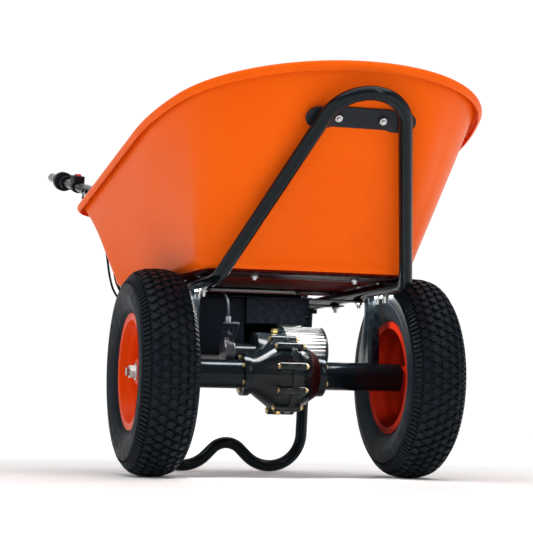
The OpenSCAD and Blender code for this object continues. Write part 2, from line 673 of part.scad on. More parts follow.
// ---------- drive train ----------
ring_phase = counter_angle;
pinion_phase = counter_angle + 180 + 180 / pinion_z;
counter_phase = motor_angle;
module ring_gear() color(steel) at_gear() difference() {
  spur(final_m, ring_z, -12, 2, ring_phase);
  ycyl(26.05, -13, 3);
}
diff_y = -18;
module diff_case() color([0.30, 0.31, 0.33]) at_gear() difference() {
  turned([[shaft_r + 0.1, -49], [15, -49], [15, -39.5], [26, -39.5], [26, -17], [42, -17], [42, -12.05], [26, -12.05],
    [26, 3.5], [15, 3.5], [15, 13], [shaft_r + 0.1, 13], [shaft_r + 0.1, -2.9], [21, -2.9], [21, -33.1],
    [shaft_r + 0.1, -33.1]]);
  translate([0, diff_y, 0]) rotate([0, 90, 0]) cylinder(r = 4 + fit, h = 80, center = true, $fn = 48);
  translate([-9, diff_y - 11, -30]) cube([18, 22, 60]);
}
module diff_pin() color(steel) at_gear() translate([0, diff_y, 0]) rotate([0, 90, 0])
  cylinder(r = 4, h = 51, center = true, $fn = 48);
side_z = 16;
spider_z = 10;
bevel_m = 2;
module side_gear() difference() {
  union() {
    translate([0, 0, 0.1]) bevel(bevel_m, side_z, spider_z, 3.6, 180 / side_z);
    translate([0, 0, -4.6]) cylinder(r = 13, h = 4.8, $fn = 64);
  }
  translate([0, 0, -10]) cylinder(r = shaft_r, h = 30, $fn = 64);
}
// Towards the differential's centre from the left or the right
module side_gear_left() color(steel) at_gear() translate([0, diff_y + 10.3, 0]) rotate([90, 0, 0]) side_gear();
module side_gear_right() color(steel) at_gear() translate([0, diff_y - 10.3, 0]) rotate([-90, 0, 0]) side_gear();
module spider_gears() color(steel) at_gear() for (s = [-1, 1]) translate([s * 16.3, diff_y, 0])
  rotate([0, -s * 90, 0]) difference() {
    union() {
      bevel(bevel_m, spider_z, side_z, 5, 90);
      translate([0, 0, -2.7]) cylinder(r = 8.6, h = 2.9, $fn = 64);
    }
    translate([0, 0, -10]) cylinder(r = 4 + fit, h = 30, $fn = 48);
  }
module countershaft() color(steel) at_counter() union() {
  ycyl(7.5, -98, 26, 64);
  spur(final_m, pinion_z, -11.5, 1.5, pinion_phase);
  difference() {
    spur(first_m, counter_z, 8, 18, counter_phase);
    round_y(21, [0:60:300]) ycyl(5, 7, 19, 48);
  }
}
shaft_end = wheel_y + 50;
module half_shaft(inner) {
  ycyl(shaft_r, inner, shaft_end - 22);
  ycyl(8, shaft_end - 22, shaft_end, 64);
}
module half_shaft_left() color(steel) at_hub() half_shaft(gear_y + diff_y + 5.5);
module half_shaft_right() color(steel) at_hub() mirror([0, 1, 0]) half_shaft(5.5 - gear_y - diff_y);

// ---------- brake ----------
drum_r = 26;
band_gap = 0.6;
drum_out = -98;
drum_in = -85;
arm_pivot = 36 * dir(70);
plate_in = -80;                // the band's plate stands against the case here
plate_out = -83;
arm_len = 38;
arm_y = [-102, -99];
pull_y = -100.5;               // where the brake cable comes down to the arm
pull_x = arm_len - 1.2;
stop_z = 19;                   // the cable stop's underside above the arm's pivot
module at_arm() at_counter() translate([arm_pivot.x, 0, arm_pivot.y]) children();
module brake_drum() color(steel) at_counter() yring(drum_r, 7.5, drum_out, drum_in);
module brake_band() color(black) {
  at_counter() difference() {
    union() {
      yring(drum_r + band_gap + 2, drum_r + band_gap, drum_out + 1, plate_in);
      ycyl(31, plate_out, plate_in);
      translate([arm_pivot.x, 0, arm_pivot.y]) ycyl(8, plate_out, plate_in, 48);
    }
    ycyl(8, plate_out - 1, plate_in + 1);
    translate([arm_pivot.x, 0, arm_pivot.y]) ycyl(3.5 + fit, plate_out - 1, plate_in + 1, 48);
    translate([0, drum_out, drum_r - 6]) cube([24, drum_in - drum_out + 1.9, 12]);
  }
  at_arm() difference() {
    union() {
      translate([0, plate_in, 0]) rotate([90, 0, 0]) linear_extrude(plate_in - plate_out)
        polygon([[5, -6], [14, -16], [46, stop_z], [46, stop_z + 4], [28, stop_z + 4], [5, 7]]);
      translate([28, -108, stop_z]) cube([18, plate_in + 108, 4]);
      translate([pull_x, pull_y, stop_z]) cylinder(r = 5.5, h = 15, $fn = 48);
    }
    translate([pull_x, pull_y, stop_z - 1]) cylinder(r = 3.6, h = 10, $fn = 48);
    translate([pull_x, pull_y, stop_z]) cylinder(r = 2.5 + fit, h = 20, $fn = 48);
  }
}
module brake_arm() color(zinc) at_arm() {
  ycyl(3.5, arm_y[0], plate_in - 0.5, 48);
  translate([0, arm_y[0], -6]) cube([arm_len, 3, 12]);
  translate([arm_len, 0, 0]) ycyl(6, arm_y[0], arm_y[1], 48);
  ycyl(7, arm_y[0], arm_y[1], 48);
  translate([arm_len, pull_y, 4]) cylinder(r = 0.9, h = stop_z - 1, $fn = 24);
}

// ---------- electrics ----------
hanger_t = 2.5;
box_t = 2;
box_top = rail_z - tube_r - hanger_t;
bay = [[-300, -156, 240], [-80, -58, box_top]];
shelf = [[-210, -58, 305], [-62, 66, box_top]];
shelf_side = [[-200, 66, 322], [-70, 76, box_top]];
side_bay = [[-300, -58, 240], [-142, 35, 305]];
module block(b) translate(b[0]) cube(b[1] - b[0]);
// The inside of a box that is open to the rear
module inside(b) block([b[0] + [-5, box_t, box_t], b[1] - box_t * [1, 1, 1]]);
module battery_box() color(black) at_axle() difference() {
  union() {
    block(bay);
    block(shelf);
    block(shelf_side);
    block(side_bay);
    for (x = [-95, -245]) translate([x, -198, box_top]) cube([40, 396, hanger_t]);
  }
  inside(bay);
  inside(shelf);
  inside(side_bay);
  side_bolt_holes([-75, -225]);
}
module controller() color(zinc) at_axle() difference() {
  translate([-190, -40, 307]) cube([110, 100, 40]);
  for (i = [0:11]) translate([-191, -36 + i * 8, 335]) cube([112, 4, 13]);
}
module battery_pack() color([0.13, 0.13, 0.14]) at_axle() {
  translate([-292, -153.2, 242.8]) cube([208, 92.4, 110]);
  difference() {
    translate([-306, -150, 250]) cube([14, 86, 96]);
    translate([-303, -125, 285]) cube([7, 36, 30]);
  }
}

// ---------- handle fittings ----------
grip_r = 18.5;
grip_from = 396;
grip_to = 518;
module grip_shape(from) {
  difference() {
    union() {
      translate([0, 0, from]) cylinder(r = grip_r, h = grip_to - 4 - from, $fn = 64);
      translate([0, 0, grip_to - 4]) cylinder(r1 = grip_r, r2 = grip_r - 3, h = 4, $fn = 64);
      translate([0, 0, from]) cylinder(r = grip_r + 3.5, h = 6, $fn = 64);
    }
    translate([0, 0, from - 1]) cylinder(r = handle_r + fit, h = handle_len + 1.2 - from, $fn = 64);
  }
}
module grip_left() color(rubber) on_handle(1) grip_shape(grip_from - 24);
module throttle_grip() color(rubber) on_handle(-1) grip_shape(grip_from);
module throttle_housing() color(black) on_handle(-1) difference() {
  union() {
    translate([0, 0, 372]) cylinder(r = 23, h = 23.6, $fn = 64);
    translate([-19, 12, 374]) cube([14, 16, 18]);
  }
  translate([0, 0, 370]) cylinder(r = handle_r + fit, h = 30, $fn = 64);
}
switch_from = 205;
switch_len = 46;
switch_top = 25;
button_at = [switch_top, 0, 219];
lead_at = [-12, 16];           // the control cable beside the handle: up, left
lead_r = 3.5;
module switch_box() color(black) on_handle(-1) difference() {
  union() {
    translate([8, -12, switch_from]) cube([switch_top - 8, 24, switch_len]);
    translate([0, 0, switch_from + 8]) cylinder(r = 15, h = 22, $fn = 64);
    translate([switch_top, -4, switch_from + 27]) cube([3, 8, 14]);
    translate([lead_at[0], lead_at[1], switch_from + 8]) cylinder(r = lead_r + 2.5, h = 22, $fn = 48);
  }
  translate([lead_at[0], lead_at[1], switch_from]) cylinder(r = lead_r + fit, h = 40, $fn = 48);
  translate([0, 0, switch_from - 1]) cylinder(r = handle_r + fit, h = switch_len + 2, $fn = 64);
  translate([button_at.x - 8, button_at.y, button_at.z]) rotate([0, 90, 0]) cylinder(r = 6.3, h = 20, $fn = 48);
}
module red_button() color([0.80, 0.06, 0.08]) on_handle(-1)
  translate([button_at.x - 3, button_at.y, button_at.z]) rotate([0, 90, 0]) cylinder(r = 6, h = 8, $fn = 48);
perch_from = 340;
lever_pivot = [-28, 352];      // away from the handle's axis, along the handle
barrel_at = -31;               // where the brake cable's barrel is, on the same line
module on_inner_side() on_handle(-1) rotate([0, 0, -90]) children();
module lever_perch() color(black) on_inner_side() difference() {
  union() {
    translate([0, 0, perch_from]) cylinder(r = 15.5, h = 24, $fn = 64);
    translate([-37, -8, perch_from]) cube([29, 16, 24]);
    translate([barrel_at, 0, perch_from - 14]) cylinder(r = 5.5, h = 15, $fn = 48);
  }
  translate([0, 0, perch_from - 1]) cylinder(r = handle_r + fit, h = 26, $fn = 64);
  translate([-38, -3.3, perch_from + 2]) cube([19, 6.6, 23]);
  translate([lever_pivot[0], -9, lever_pivot[1]]) rotate([-90, 0, 0]) cylinder(r = 2.5 + fit, h = 18, $fn = 48);
  translate([barrel_at, 0, perch_from - 15]) cylinder(r = 2.8, h = 10, $fn = 48);
}
module brake_lever() color(zinc) on_inner_side() union() {
  translate([lever_pivot[0], -8.5, lever_pivot[1]]) rotate([-90, 0, 0]) cylinder(r = 2.5, h = 17, $fn = 48);
  translate([0, 3, 0]) rotate([90, 0, 0]) linear_extrude(6) polygon([[-31, 347], [-24, 347], [-24, 362],
    [-38, 384], [-43, 420], [-48, 500], [-50, 512], [-55, 512], [-53, 500], [-48, 420], [-44, 382], [-34, 358]]);
}

// ---------- cables ----------
function at_right_handle(s, up, left) =
  let (foot = [handle_foot.x, -handle_foot.y, handle_foot.z], c = cos(handle_flare), q = sin(handle_flare),
    local = [-s * cos(handle_rise) + up * sin(handle_rise), left, s * sin(handle_rise) + up * cos(handle_rise)])
  foot + [c * local.x - q * local.y, q * local.x + c * local.y, local.z];
pull_at = [counter_at.x + arm_pivot.x + pull_x, gear_y + pull_y,
  wheel_r + counter_at.y + arm_pivot.y + stop_z + 9];
brake_route = concat([at_right_handle(perch_from - 8, 0, -barrel_at), at_right_handle(318, 0, 30),
    at_right_handle(300, -4, 29), at_right_handle(270, -14, 26), at_right_handle(240, -23, 19),
    at_right_handle(210, -25, 11), at_right_handle(180, -23, 4)],
  [for (s = [140, 100, 60]) at_right_handle(s, -20, 0)],
  [[-537, -272, 572], [-530, -262, 522], [-524, -256, 470], [-520, -250, 428], [-519, -240, 396],
  [-519, -220, 370], [-514, -196, 351], [-494, -176, 345], [-464, -164, 350], [-420, -161, 362],
  [-340, -163, 369], [-240, -163, 370], [-150, -163, 370], [-100, -154, 368], [-60, -130, 362],
  [-24, -118, 360], [-2, -114.5, 347], [pull_at.x, pull_at.y, 328], pull_at]);
control_route = concat([for (s = [371.7, 358, 340, 300, 260, 220, 180, 140, 100, 60])
    at_right_handle(s, lead_at[0], s > 310 ? lead_at[1] + 5 : lead_at[1])],
  [[-540, -256, 576], [-534, -246, 522], [-528, -240, 468], [-523, -236, 425], [-521, -222, 394],
  [-519, -200, 377], [-510, -176, 369], [-488, -151, 367], [-450, -118, 367], [-400, -84, 366],
  [-350, -52, 362], [-300, -30, 350], [-240, -20, 336], [-191.4, -15, 322]]);
motor_route = [[-191, 45, 320], [-222, 46, 321], [-250, 50, 312], [-262, 56, 290], [-250, 60, 267],
  [-222, 62, 254], [-180, 62, 251.5], [-143.5, 62, 251.3]];
module control_cable() color(black) at_axle() solid_cord(control_route, lead_r, 8);
module brake_cable() color(black) at_axle() solid_cord(brake_route, 2.5, 8);
module motor_lead() color(black) at_axle() solid_cord(motor_route, 4, 8);

// ---------- wheels ----------
module at_wheel(side) at_hub() translate([0, side * wheel_y, 0])
  mirror([0, side < 0 ? 1 : 0, 0]) children();
bead_seat = 101.5;
half_tyre = [[bead_seat + 0.2, 28], [bead_seat + 0.2, 40], [113.5, 40], [122, 47.5], [136, 53.5],
  [152, tyre_w / 2], [166, 56.5], [178, 53], [187, 46], [193.5, 37], [198, 25], [wheel_r, 10]];
half_inside = [[189, 0], [187, 22], [181, 37], [170, 47], [152, 49.5], [134, 46.5], [119, 40], [110, 28]];
function other_side(half) = [for (p = flipped(half)) [p.x, -p.y]];
module tyre() turned(concat(half_tyre, other_side(half_tyre), other_side(tail(half_inside)), half_inside));
module tyre_left() color(rubber) at_wheel(1) tyre();
module tyre_right() color(rubber) at_wheel(-1) tyre();

tube_skin = [[188, 0], [186, 21.5], [180, 36.2], [169.5, 46], [152, 48.5], [134.5, 45.5], [120, 39],
  [111.5, 26], [103, 25], [103, 0]];
tube_hollow = [[186, 0], [184, 20.5], [178.5, 34.5], [168.5, 44], [152, 46.5], [135.5, 43.5], [121.5, 37.5],
  [113, 23.5], [105, 23], [105, 0]];
module ring_of(half) turned(concat(half, other_side([for (i = [1:len(half) - 2]) half[i]])));
valve_angle = 58;
valve_y = 16;
valve_tilt = 40;
module valve_way() spin_y(valve_angle) translate([104, valve_y, 0]) rotate([0, 0, valve_tilt]) rotate([0, -90, 0])
  children();
module inner_tube() difference() {
  union() {
    ring_of(tube_skin);
    valve_way() cylinder(r = 3.9, h = 42, $fn = 32);
    valve_way() translate([0, 0, 36]) cylinder(r = 4.6, h = 9, $fn = 32);
  }
  ring_of(tube_hollow);
}
module inner_tube_left() color(rubber) at_wheel(1) inner_tube();
module inner_tube_right() color(rubber) at_wheel(-1) inner_tube();

half_barrel = [[rim_d / 2, 43], [rim_d / 2, 40.4], [bead_seat, 40.4], [bead_seat, 26], [92, 22]];
half_barrel_in = [[89.5, 23.5], [99, 28], [99, 43]];
hub_r = 24;
module rim() difference() {
  union() {
    turned(concat(half_barrel, other_side(half_barrel), other_side(half_barrel_in), half_barrel_in));
    turned([[hub_r - 1, 17], [52, 15], [75, 7], [90.5, -2], [90.5, -5.5], [74, 3.5], [51, 11.5], [hub_r - 1, 13.5]]);
    ycyl(hub_r, -20, 30);
  }
  ycyl(shaft_r + fit, -21, 31);
  valve_way() cylinder(r = 4.2, h = 30, $fn = 32);
}
module rim_left() color(orange) at_wheel(1) rim();
module rim_right() color(orange) at_wheel(-1) rim();

module hub_nut() difference() {
  union() {
    ycyl(17, 30.1, 32.6);
    hex_y(24, 32.6, 44);
  }
  ycyl(8 + fit, 29, 46, 64);
}
module hub_nut_left() color(zinc) at_wheel(1) hub_nut();
module hub_nut_right() color(zinc) at_wheel(-1) hub_nut();

tub();
front_hoop();
hoop_strap();
tub_bolts();
tube_splices();
rail_left();
rail_right();
handle_left();
handle_right();
frame_bolts();
cross_straps();
uprights();
rear_stand();
stand_saddles();
axle_tube_left();
axle_tube_right();
gearbox_bolts();
spacer_ring();
gearbox_case();
gearbox_cover();
gearbox_plugs();
drive_bearings();
axle_bearings();
motor_housing();
motor_end_caps();
motor_stator();
brake_band();
battery_box();
controller();
grip_left();
throttle_housing();
switch_box();
lever_perch();
control_cable();
brake_cable();
motor_lead();
throttle_grip();
brake_lever();
red_button();
brake_arm();
battery_pack();
ring_gear();
diff_case();
diff_pin();
spider_gears();
countershaft();
brake_drum();
motor_rotor();
half_shaft_left();
half_shaft_right();
side_gear_left();
side_gear_right();
tyre_left();
tyre_right();
rim_left();
rim_right();
hub_nut_left();
hub_nut_right();
inner_tube_left();
inner_tube_right();
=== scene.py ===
import json
import math

import bmesh
import bpy
import numpy as np
from mathutils import Matrix, Vector


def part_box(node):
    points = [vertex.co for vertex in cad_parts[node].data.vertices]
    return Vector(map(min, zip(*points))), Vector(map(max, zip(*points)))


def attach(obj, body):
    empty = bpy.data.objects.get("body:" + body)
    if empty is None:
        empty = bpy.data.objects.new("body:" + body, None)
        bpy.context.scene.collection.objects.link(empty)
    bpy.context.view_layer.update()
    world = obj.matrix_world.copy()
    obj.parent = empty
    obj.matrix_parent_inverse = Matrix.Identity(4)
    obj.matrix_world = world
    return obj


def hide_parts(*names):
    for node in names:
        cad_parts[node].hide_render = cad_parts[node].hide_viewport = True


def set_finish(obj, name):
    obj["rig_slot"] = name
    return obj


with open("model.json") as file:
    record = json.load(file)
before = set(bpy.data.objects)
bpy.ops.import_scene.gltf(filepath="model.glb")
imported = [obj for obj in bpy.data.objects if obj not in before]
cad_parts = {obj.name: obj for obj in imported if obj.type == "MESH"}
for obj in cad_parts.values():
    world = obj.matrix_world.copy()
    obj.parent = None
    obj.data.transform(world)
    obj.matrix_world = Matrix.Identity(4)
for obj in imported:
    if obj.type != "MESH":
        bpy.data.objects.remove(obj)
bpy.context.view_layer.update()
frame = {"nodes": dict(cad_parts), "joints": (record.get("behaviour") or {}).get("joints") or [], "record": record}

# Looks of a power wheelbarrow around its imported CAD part. Metres; X forward, Y left, Z up, ground at z = 0.

joint = {j["name"]: j for j in frame["joints"]}
axle_x, right_wheel_y, axle_z = joint["right_wheel_spin"]["pos_m"]
wheel_y = abs(right_wheel_y)
wheel_r = axle_z
scene = bpy.context.scene


# ---------- camera ----------
def aim(position, yaw, pitch, roll, lens):
    """A camera that looks back along the machine; yaw, pitch and roll are in degrees."""
    data = bpy.data.cameras.new("camera")
    data.lens = lens
    data.sensor_width = 36
    camera = bpy.data.objects.new("camera", data)
    scene.collection.objects.link(camera)
    yaw, pitch, roll = (math.radians(a) for a in (yaw, pitch, roll))
    ahead = Vector((-math.cos(yaw) * math.cos(pitch), math.sin(yaw) * math.cos(pitch), math.sin(pitch)))
    level = Vector((math.sin(yaw), math.cos(yaw), 0))
    above = level.cross(ahead)
    right = math.cos(roll) * level + math.sin(roll) * above
    up = math.cos(roll) * above - math.sin(roll) * level
    camera.matrix_world = Matrix.Translation(position) @ Matrix((right, up, -ahead)).transposed().to_4x4()
    scene.camera = camera


aim((axle_x + 3.1644, -0.9584, 0.0965), yaw=16.25, pitch=5.50, roll=0.81, lens=113.0)


# ---------- geometry helpers ----------
bend_steps = 20                         # steps in each rounded corner of a line
weld, level_angle, broken_angle = 2e-5, 1.0, 38     # for copies of CAD nodes: metres, then degrees


def polar(a):
    """The unit vector at angle a in degrees."""
    return np.array([math.cos(math.radians(a)), math.sin(math.radians(a))])


def arc(centre, r, a0, a1, n):
    """n + 1 points of a flat arc, from angle a0 to a1 in degrees."""
    return [np.array(centre) + r * polar(a0 + (a1 - a0) * i / n) for i in range(n + 1)]


def unit(v):
    return v / np.linalg.norm(v)


def corner(a, p, b, r, n):
    """Arc points that round the corner p between a and b with radius r."""
    u, v = unit(a - p), unit(b - p)
    half = math.acos(max(-1, min(1, float(u @ v)))) / 2
    turn = math.pi - 2 * half
    centre = p + unit(u + v) * r / math.sin(half)
    s = p + u * r / math.tan(half) - centre
    e = p + v * r / math.tan(half) - centre
    return [centre + (math.sin(turn * (1 - i / n)) * s + math.sin(turn * i / n) * e) / math.sin(turn)
            for i in range(n + 1)]


def rounded(points, radii):
    """A polyline with its inner corners rounded."""
    points = [np.array(p, float) for p in points]
    out = [points[0]]
    for i, r in enumerate(radii, 1):
        out += corner(points[i - 1], points[i], points[i + 1], r, bend_steps)
    return out + [points[-1]]


def through(points, steps):
    """A smooth curve through the points, with so many steps between two of them."""
    p = [np.array(q, float) for q in points]
    p = [2 * p[0] - p[1]] + p + [2 * p[-1] - p[-2]]
    out = []
    for a, b, c, d in zip(p, p[1:], p[2:], p[3:]):
        for t in np.arange(steps) / steps:
            out.append(0.5 * (2 * b + (c - a) * t + (2 * a - 5 * b + 4 * c - d) * t ** 2
                              + (3 * b - a - 3 * c + d) * t ** 3))
    return out + [p[-2]]


def piece(name, verts, faces, body, slot, flat_angle=40):
    """A mesh object that rides on a body; edges sharper than flat_angle stay sharp."""
    mesh = bpy.data.meshes.new(name)
    mesh.from_pydata([tuple(v) for v in verts], [], [tuple(f) for f in faces])
    mesh.validate()
    obj = bpy.data.objects.new(name, mesh)
    scene.collection.objects.link(obj)
    return dress(obj, body, slot, flat_angle)


def dress(obj, body, slot, flat_angle):
    """Smooths an object's faces but for its sharp edges, gives it a material and lets it ride on a body."""
    bm = bmesh.new()
    bm.from_mesh(obj.data)
    bmesh.ops.recalc_face_normals(bm, faces=bm.faces)
    for f in bm.faces:
        f.smooth = True
    for e in bm.edges:
        e.smooth = len(e.link_faces) != 2 or e.calc_face_angle() < math.radians(flat_angle)
    bm.to_mesh(obj.data)
    bm.free()
    obj.data.materials.clear()
    obj.data.materials.append(materials[slot])
    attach(obj, body)
    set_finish(obj, slot)
    return obj


def paint_shade_on_faces(obj, material, chosen):
    """Gives some faces of a piece a second, darker material: painted shade where little light falls."""
    obj.data.materials.append(materials[material])
    for face in obj.data.polygons:
        if chosen(face):
            face.material_index = 1


def skin(rings, wrap=False):
    """Vertices and faces of a skin over closed rings: joined to its start if wrap, else capped."""
    n, m = len(rings[0]), len(rings)
    verts = [p for ring in rings for p in ring]
    faces = [(i * n + j, (i + 1) % m * n + j, (i + 1) % m * n + (j + 1) % n, i * n + (j + 1) % n)
             for i in range(m if wrap else m - 1) for j in range(n)]
    if not wrap:
        for i, way in ((0, 1), (m - 1, -1)):
            middle = len(verts)
            verts.append(sum(rings[i]) / n)
            faces += [(middle, i * n + j, i * n + (j + 1) % n)[::way] for j in range(n)]
    return verts, faces


def sweep_rings(path, r, sides):
    """Round rings across a path; r is one radius, or one for each point."""
    path = [np.array(p, float) for p in path]
    steps = [unit(b - a) for a, b in zip(path, path[1:])]
    tangents = [steps[0]] + [unit(a + b) for a, b in zip(steps, steps[1:])] + [steps[-1]]
    side = unit(np.cross(tangents[0], [0, 0, 1] if abs(tangents[0][2]) < 0.9 else [0, 1, 0]))
    rings = []
    for k, (p, t) in enumerate(zip(path, tangents)):
        side = unit(side - (side @ t) * t)
        other = np.cross(t, side)
        radius = r[k] if hasattr(r, "__len__") else r
        rings.append([p + radius * (math.cos(a) * side + math.sin(a) * other)
                      for a in np.arange(sides) * 2 * math.pi / sides])
    return rings


def revolve(profile, sides):
    """Vertices and faces of a closed profile of (radius, y) points turned about the Y axis."""
    rings = [[np.array([r * math.cos(a), y, r * math.sin(a)]) for a in np.arange(sides) * 2 * math.pi / sides]
             for r, y in profile]
    return skin(rings, wrap=True)


def placed(verts, at, side):
    """Moves points made about the origin to a place; side -1 mirrors them in Y."""
    return [np.array([at[0] + v[0], at[1] + side * v[1], at[2] + v[2]]) for v in verts]


def rounded_copy(node, body, slot, bevel):
    """A detailed piece with a CAD node's own shape and softly broken edges, which stands for the node."""
    source = frame["nodes"][node]
    obj = bpy.data.objects.new(node + "_look", source.data.copy())
    scene.collection.objects.link(obj)
    bm = bmesh.new()
    bm.from_mesh(obj.data)
    bmesh.ops.remove_doubles(bm, verts=bm.verts, dist=weld)
    bmesh.ops.dissolve_limit(bm, angle_limit=math.radians(level_angle), verts=bm.verts, edges=bm.edges)
    sharp = [e for e in bm.edges
             if len(e.link_faces) == 2 and e.calc_face_angle() > math.radians(broken_angle)]
    bmesh.ops.bevel(bm, geom=sharp, offset=bevel, offset_type="OFFSET", segments=2, profile=0.5,
                    affect="EDGES", clamp_overlap=True)
    bm.to_mesh(obj.data)
    bm.free()
    dress(obj, body, slot, broken_angle)
    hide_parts(node)


# ---------- materials ----------
materials = {}
orange_peel, mark_depth = 0.00006, 0.00004      # bump heights in metres
worn_share = 0.15                       # how much of the worn colour shows at most


class Nodes:
    """A small writer for shader trees."""

    def __init__(self, name):
        self.material = bpy.data.materials.new(name)
        self.material.use_nodes = True
        self.tree = self.material.node_tree
        self.shader = self.tree.nodes["Principled BSDF"]
        self.place = self.tree.nodes.new("ShaderNodeTexCoord").outputs["Object"]

    def link(self, a, b):
        self.tree.links.new(a, b)

    def noise(self, scale, detail=3.0, stretch=None):
        node = self.tree.nodes.new("ShaderNodeTexNoise")
        node.inputs["Scale"].default_value = scale
        node.inputs["Detail"].default_value = detail
        source = self.place
        if stretch:
            mapping = self.tree.nodes.new("ShaderNodeMapping")
            mapping.inputs["Scale"].default_value = stretch
            self.link(source, mapping.inputs["Vector"])
            source = mapping.outputs["Vector"]
        self.link(source, node.inputs["Vector"])
        return node.outputs["Fac"]

    def spread(self, value, low, high, start=0.3, end=0.7):
        """Maps start to low and end to high, and holds those beyond."""
        node = self.tree.nodes.new("ShaderNodeMapRange")
        for socket, v in (("From Min", start), ("From Max", end), ("To Min", low), ("To Max", high)):
            node.inputs[socket].default_value = v
        self.link(value, node.inputs["Value"])
        return node.outputs["Result"]

    def mix(self, share, a, b):
        """Colour a where share is 0 and b where it is 1."""
        node = self.tree.nodes.new("ShaderNodeMix")
        node.data_type = "RGBA"
        self.link(share, node.inputs["Factor"])
        for socket, v in ((node.inputs["A"], a), (node.inputs["B"], b)):
            if isinstance(v, tuple):
                socket.default_value = (*v, 1)
            else:
                self.link(v, socket)
        return node.outputs["Result"]

    def edges(self, start=0.52, end=0.60):
        """1 along raised edges and 0 on flat faces."""
        node = self.tree.nodes.new("ShaderNodeNewGeometry")
        return self.spread(node.outputs["Pointiness"], 0, 1, start, end)

    def bump(self, height, distance, strength):
        node = self.tree.nodes.new("ShaderNodeBump")
        node.inputs["Distance"].default_value = distance
        node.inputs["Strength"].default_value = strength
        self.link(height, node.inputs["Height"])
        self.link(node.outputs["Normal"], self.shader.inputs["Normal"])

    def set(self, **sockets):
        """Sets the shader's inputs to values, or links outputs to them."""
        for name, v in sockets.items():
            socket = self.shader.inputs[name.replace("_", " ")]
            if hasattr(v, "is_output"):
                self.link(v, socket)
            else:
                socket.default_value = (*v, 1) if isinstance(v, tuple) else v


def paint(name, colour, deep, roughness, coat=0.0, worn=(0.3, 0.3, 0.3), ior=1.5, tint=(1, 1, 1)):
    """Powder coat: a faint orange peel, slow colour drift and edges rubbed a little lighter."""
    n = Nodes(name)
    drift = n.spread(n.noise(5.0), 0, 1)
    body = n.mix(drift, colour, deep)
    rub = n.tree.nodes.new("ShaderNodeMath")
    rub.operation = "MULTIPLY"
    n.link(n.edges(), rub.inputs[0])
    n.link(n.spread(n.noise(90.0), 0, worn_share, 0.45, 0.7), rub.inputs[1])
    n.set(Base_Color=n.mix(rub.outputs[0], body, worn),
          Roughness=n.spread(n.noise(12.0), roughness * 0.94, roughness * 1.06),
          Coat_Weight=coat, Coat_Roughness=0.05, IOR=ior, Specular_Tint=tint)
    n.bump(n.noise(420.0, 2.0), orange_peel, 0.4)
    materials[name] = n.material


def metal(name, colour, deep, roughness, scratch=(1, 60, 1)):
    """Machined or plated metal with fine directional marks."""
    n = Nodes(name)
    n.set(Base_Color=n.mix(n.spread(n.noise(40.0), 0, 1), colour, deep), Metallic=1.0,
          Roughness=n.spread(n.noise(120.0, 4.0, scratch), roughness * 0.7, roughness * 1.4))
    n.bump(n.noise(300.0, 3.0, scratch), mark_depth, 0.6)
    materials[name] = n.material


def casting(name, colour, deep, roughness, metallic=0.0, grain=700.0, depth=0.0003, coat=0.0, ior=1.5):
    """Sand-cast or die-cast skin: pebbled and slightly uneven."""
    n = Nodes(name)
    n.set(Base_Color=n.mix(n.edges(0.51, 0.58), n.mix(n.spread(n.noise(30.0), 0, 1), colour, deep),
                           tuple(min(1, c * 1.8 + 0.01) for c in colour)),
          Metallic=metallic, Roughness=n.spread(n.noise(55.0), roughness * 0.8, roughness * 1.25),
          Coat_Weight=coat, Coat_Roughness=0.08, IOR=ior)
    n.bump(n.noise(grain, 4.0), depth, 0.7)
    materials[name] = n.material


def moulded(name, colour, deep, roughness, grain=900.0, depth=0.00015, coat=0.0, ior=1.5):
    """Moulded plastic or rubber with a fine sparked texture."""
    n = Nodes(name)
    n.set(Base_Color=n.mix(n.spread(n.noise(18.0), 0, 1), colour, deep),
          Roughness=n.spread(n.noise(70.0), roughness * 0.85, roughness * 1.15), Coat_Weight=coat,
          Coat_Roughness=0.1, IOR=ior)
    n.bump(n.noise(grain, 3.0), depth, 0.6)
    materials[name] = n.material


paint("tub_paint", (0.90, 0.125, 0.006), (0.86, 0.110, 0.005), 0.30, ior=1.14, worn=(0.92, 0.30, 0.08),
      tint=(1.0, 0.55, 0.16))
paint("rim_paint", (0.80, 0.060, 0.0015), (0.74, 0.052, 0.0015), 0.30, ior=1.25,
      worn=(0.9, 0.25, 0.08), tint=(1.0, 0.5, 0.2))
# Dark red for the rims' inner faces: painted shade on the side turned in under the machine
paint("rim_inside", (0.30, 0.010, 0.001), (0.22, 0.007, 0.001), 0.50, ior=1.08)
paint("frame_paint", (0.0022, 0.0040, 0.0056), (0.0034, 0.0056, 0.0074), 0.18, coat=0.03,
      worn=(0.06, 0.07, 0.08), ior=1.28, tint=(0.8, 0.93, 1.0))
paint("strap_paint", (0.010, 0.013, 0.018), (0.015, 0.018, 0.023), 0.38, worn=(0.1, 0.1, 0.11), ior=1.25)
paint("ring_paint", (0.013, 0.0010, 0.0008), (0.018, 0.0015, 0.0011), 0.42, ior=1.12)
casting("case_paint", (0.0020, 0.0042, 0.0056), (0.0030, 0.0056, 0.0070), 0.18, depth=0.00008,
        coat=0.06, grain=500.0, ior=1.30)
paint("box_paint", (0.0014, 0.0022, 0.0040), (0.0024, 0.0036, 0.0062), 0.50, worn=(0.03, 0.035, 0.045),
      ior=1.12)
paint("band_paint", (0.020, 0.024, 0.034), (0.034, 0.038, 0.05), 0.36, worn=(0.14, 0.15, 0.17))
metal("zinc", (0.62, 0.62, 0.60), (0.48, 0.49, 0.50), 0.26)
metal("gold_zinc", (0.66, 0.50, 0.24), (0.50, 0.37, 0.17), 0.30)
metal("plug_brass", (0.80, 0.60, 0.26), (0.66, 0.47, 0.18), 0.24)
metal("machined_steel", (0.50, 0.51, 0.52), (0.36, 0.37, 0.38), 0.30)
metal("bearing_steel", (0.66, 0.67, 0.68), (0.55, 0.56, 0.57), 0.18)
casting("diff_iron", (0.16, 0.16, 0.17), (0.24, 0.24, 0.25), 0.42, 0.9)
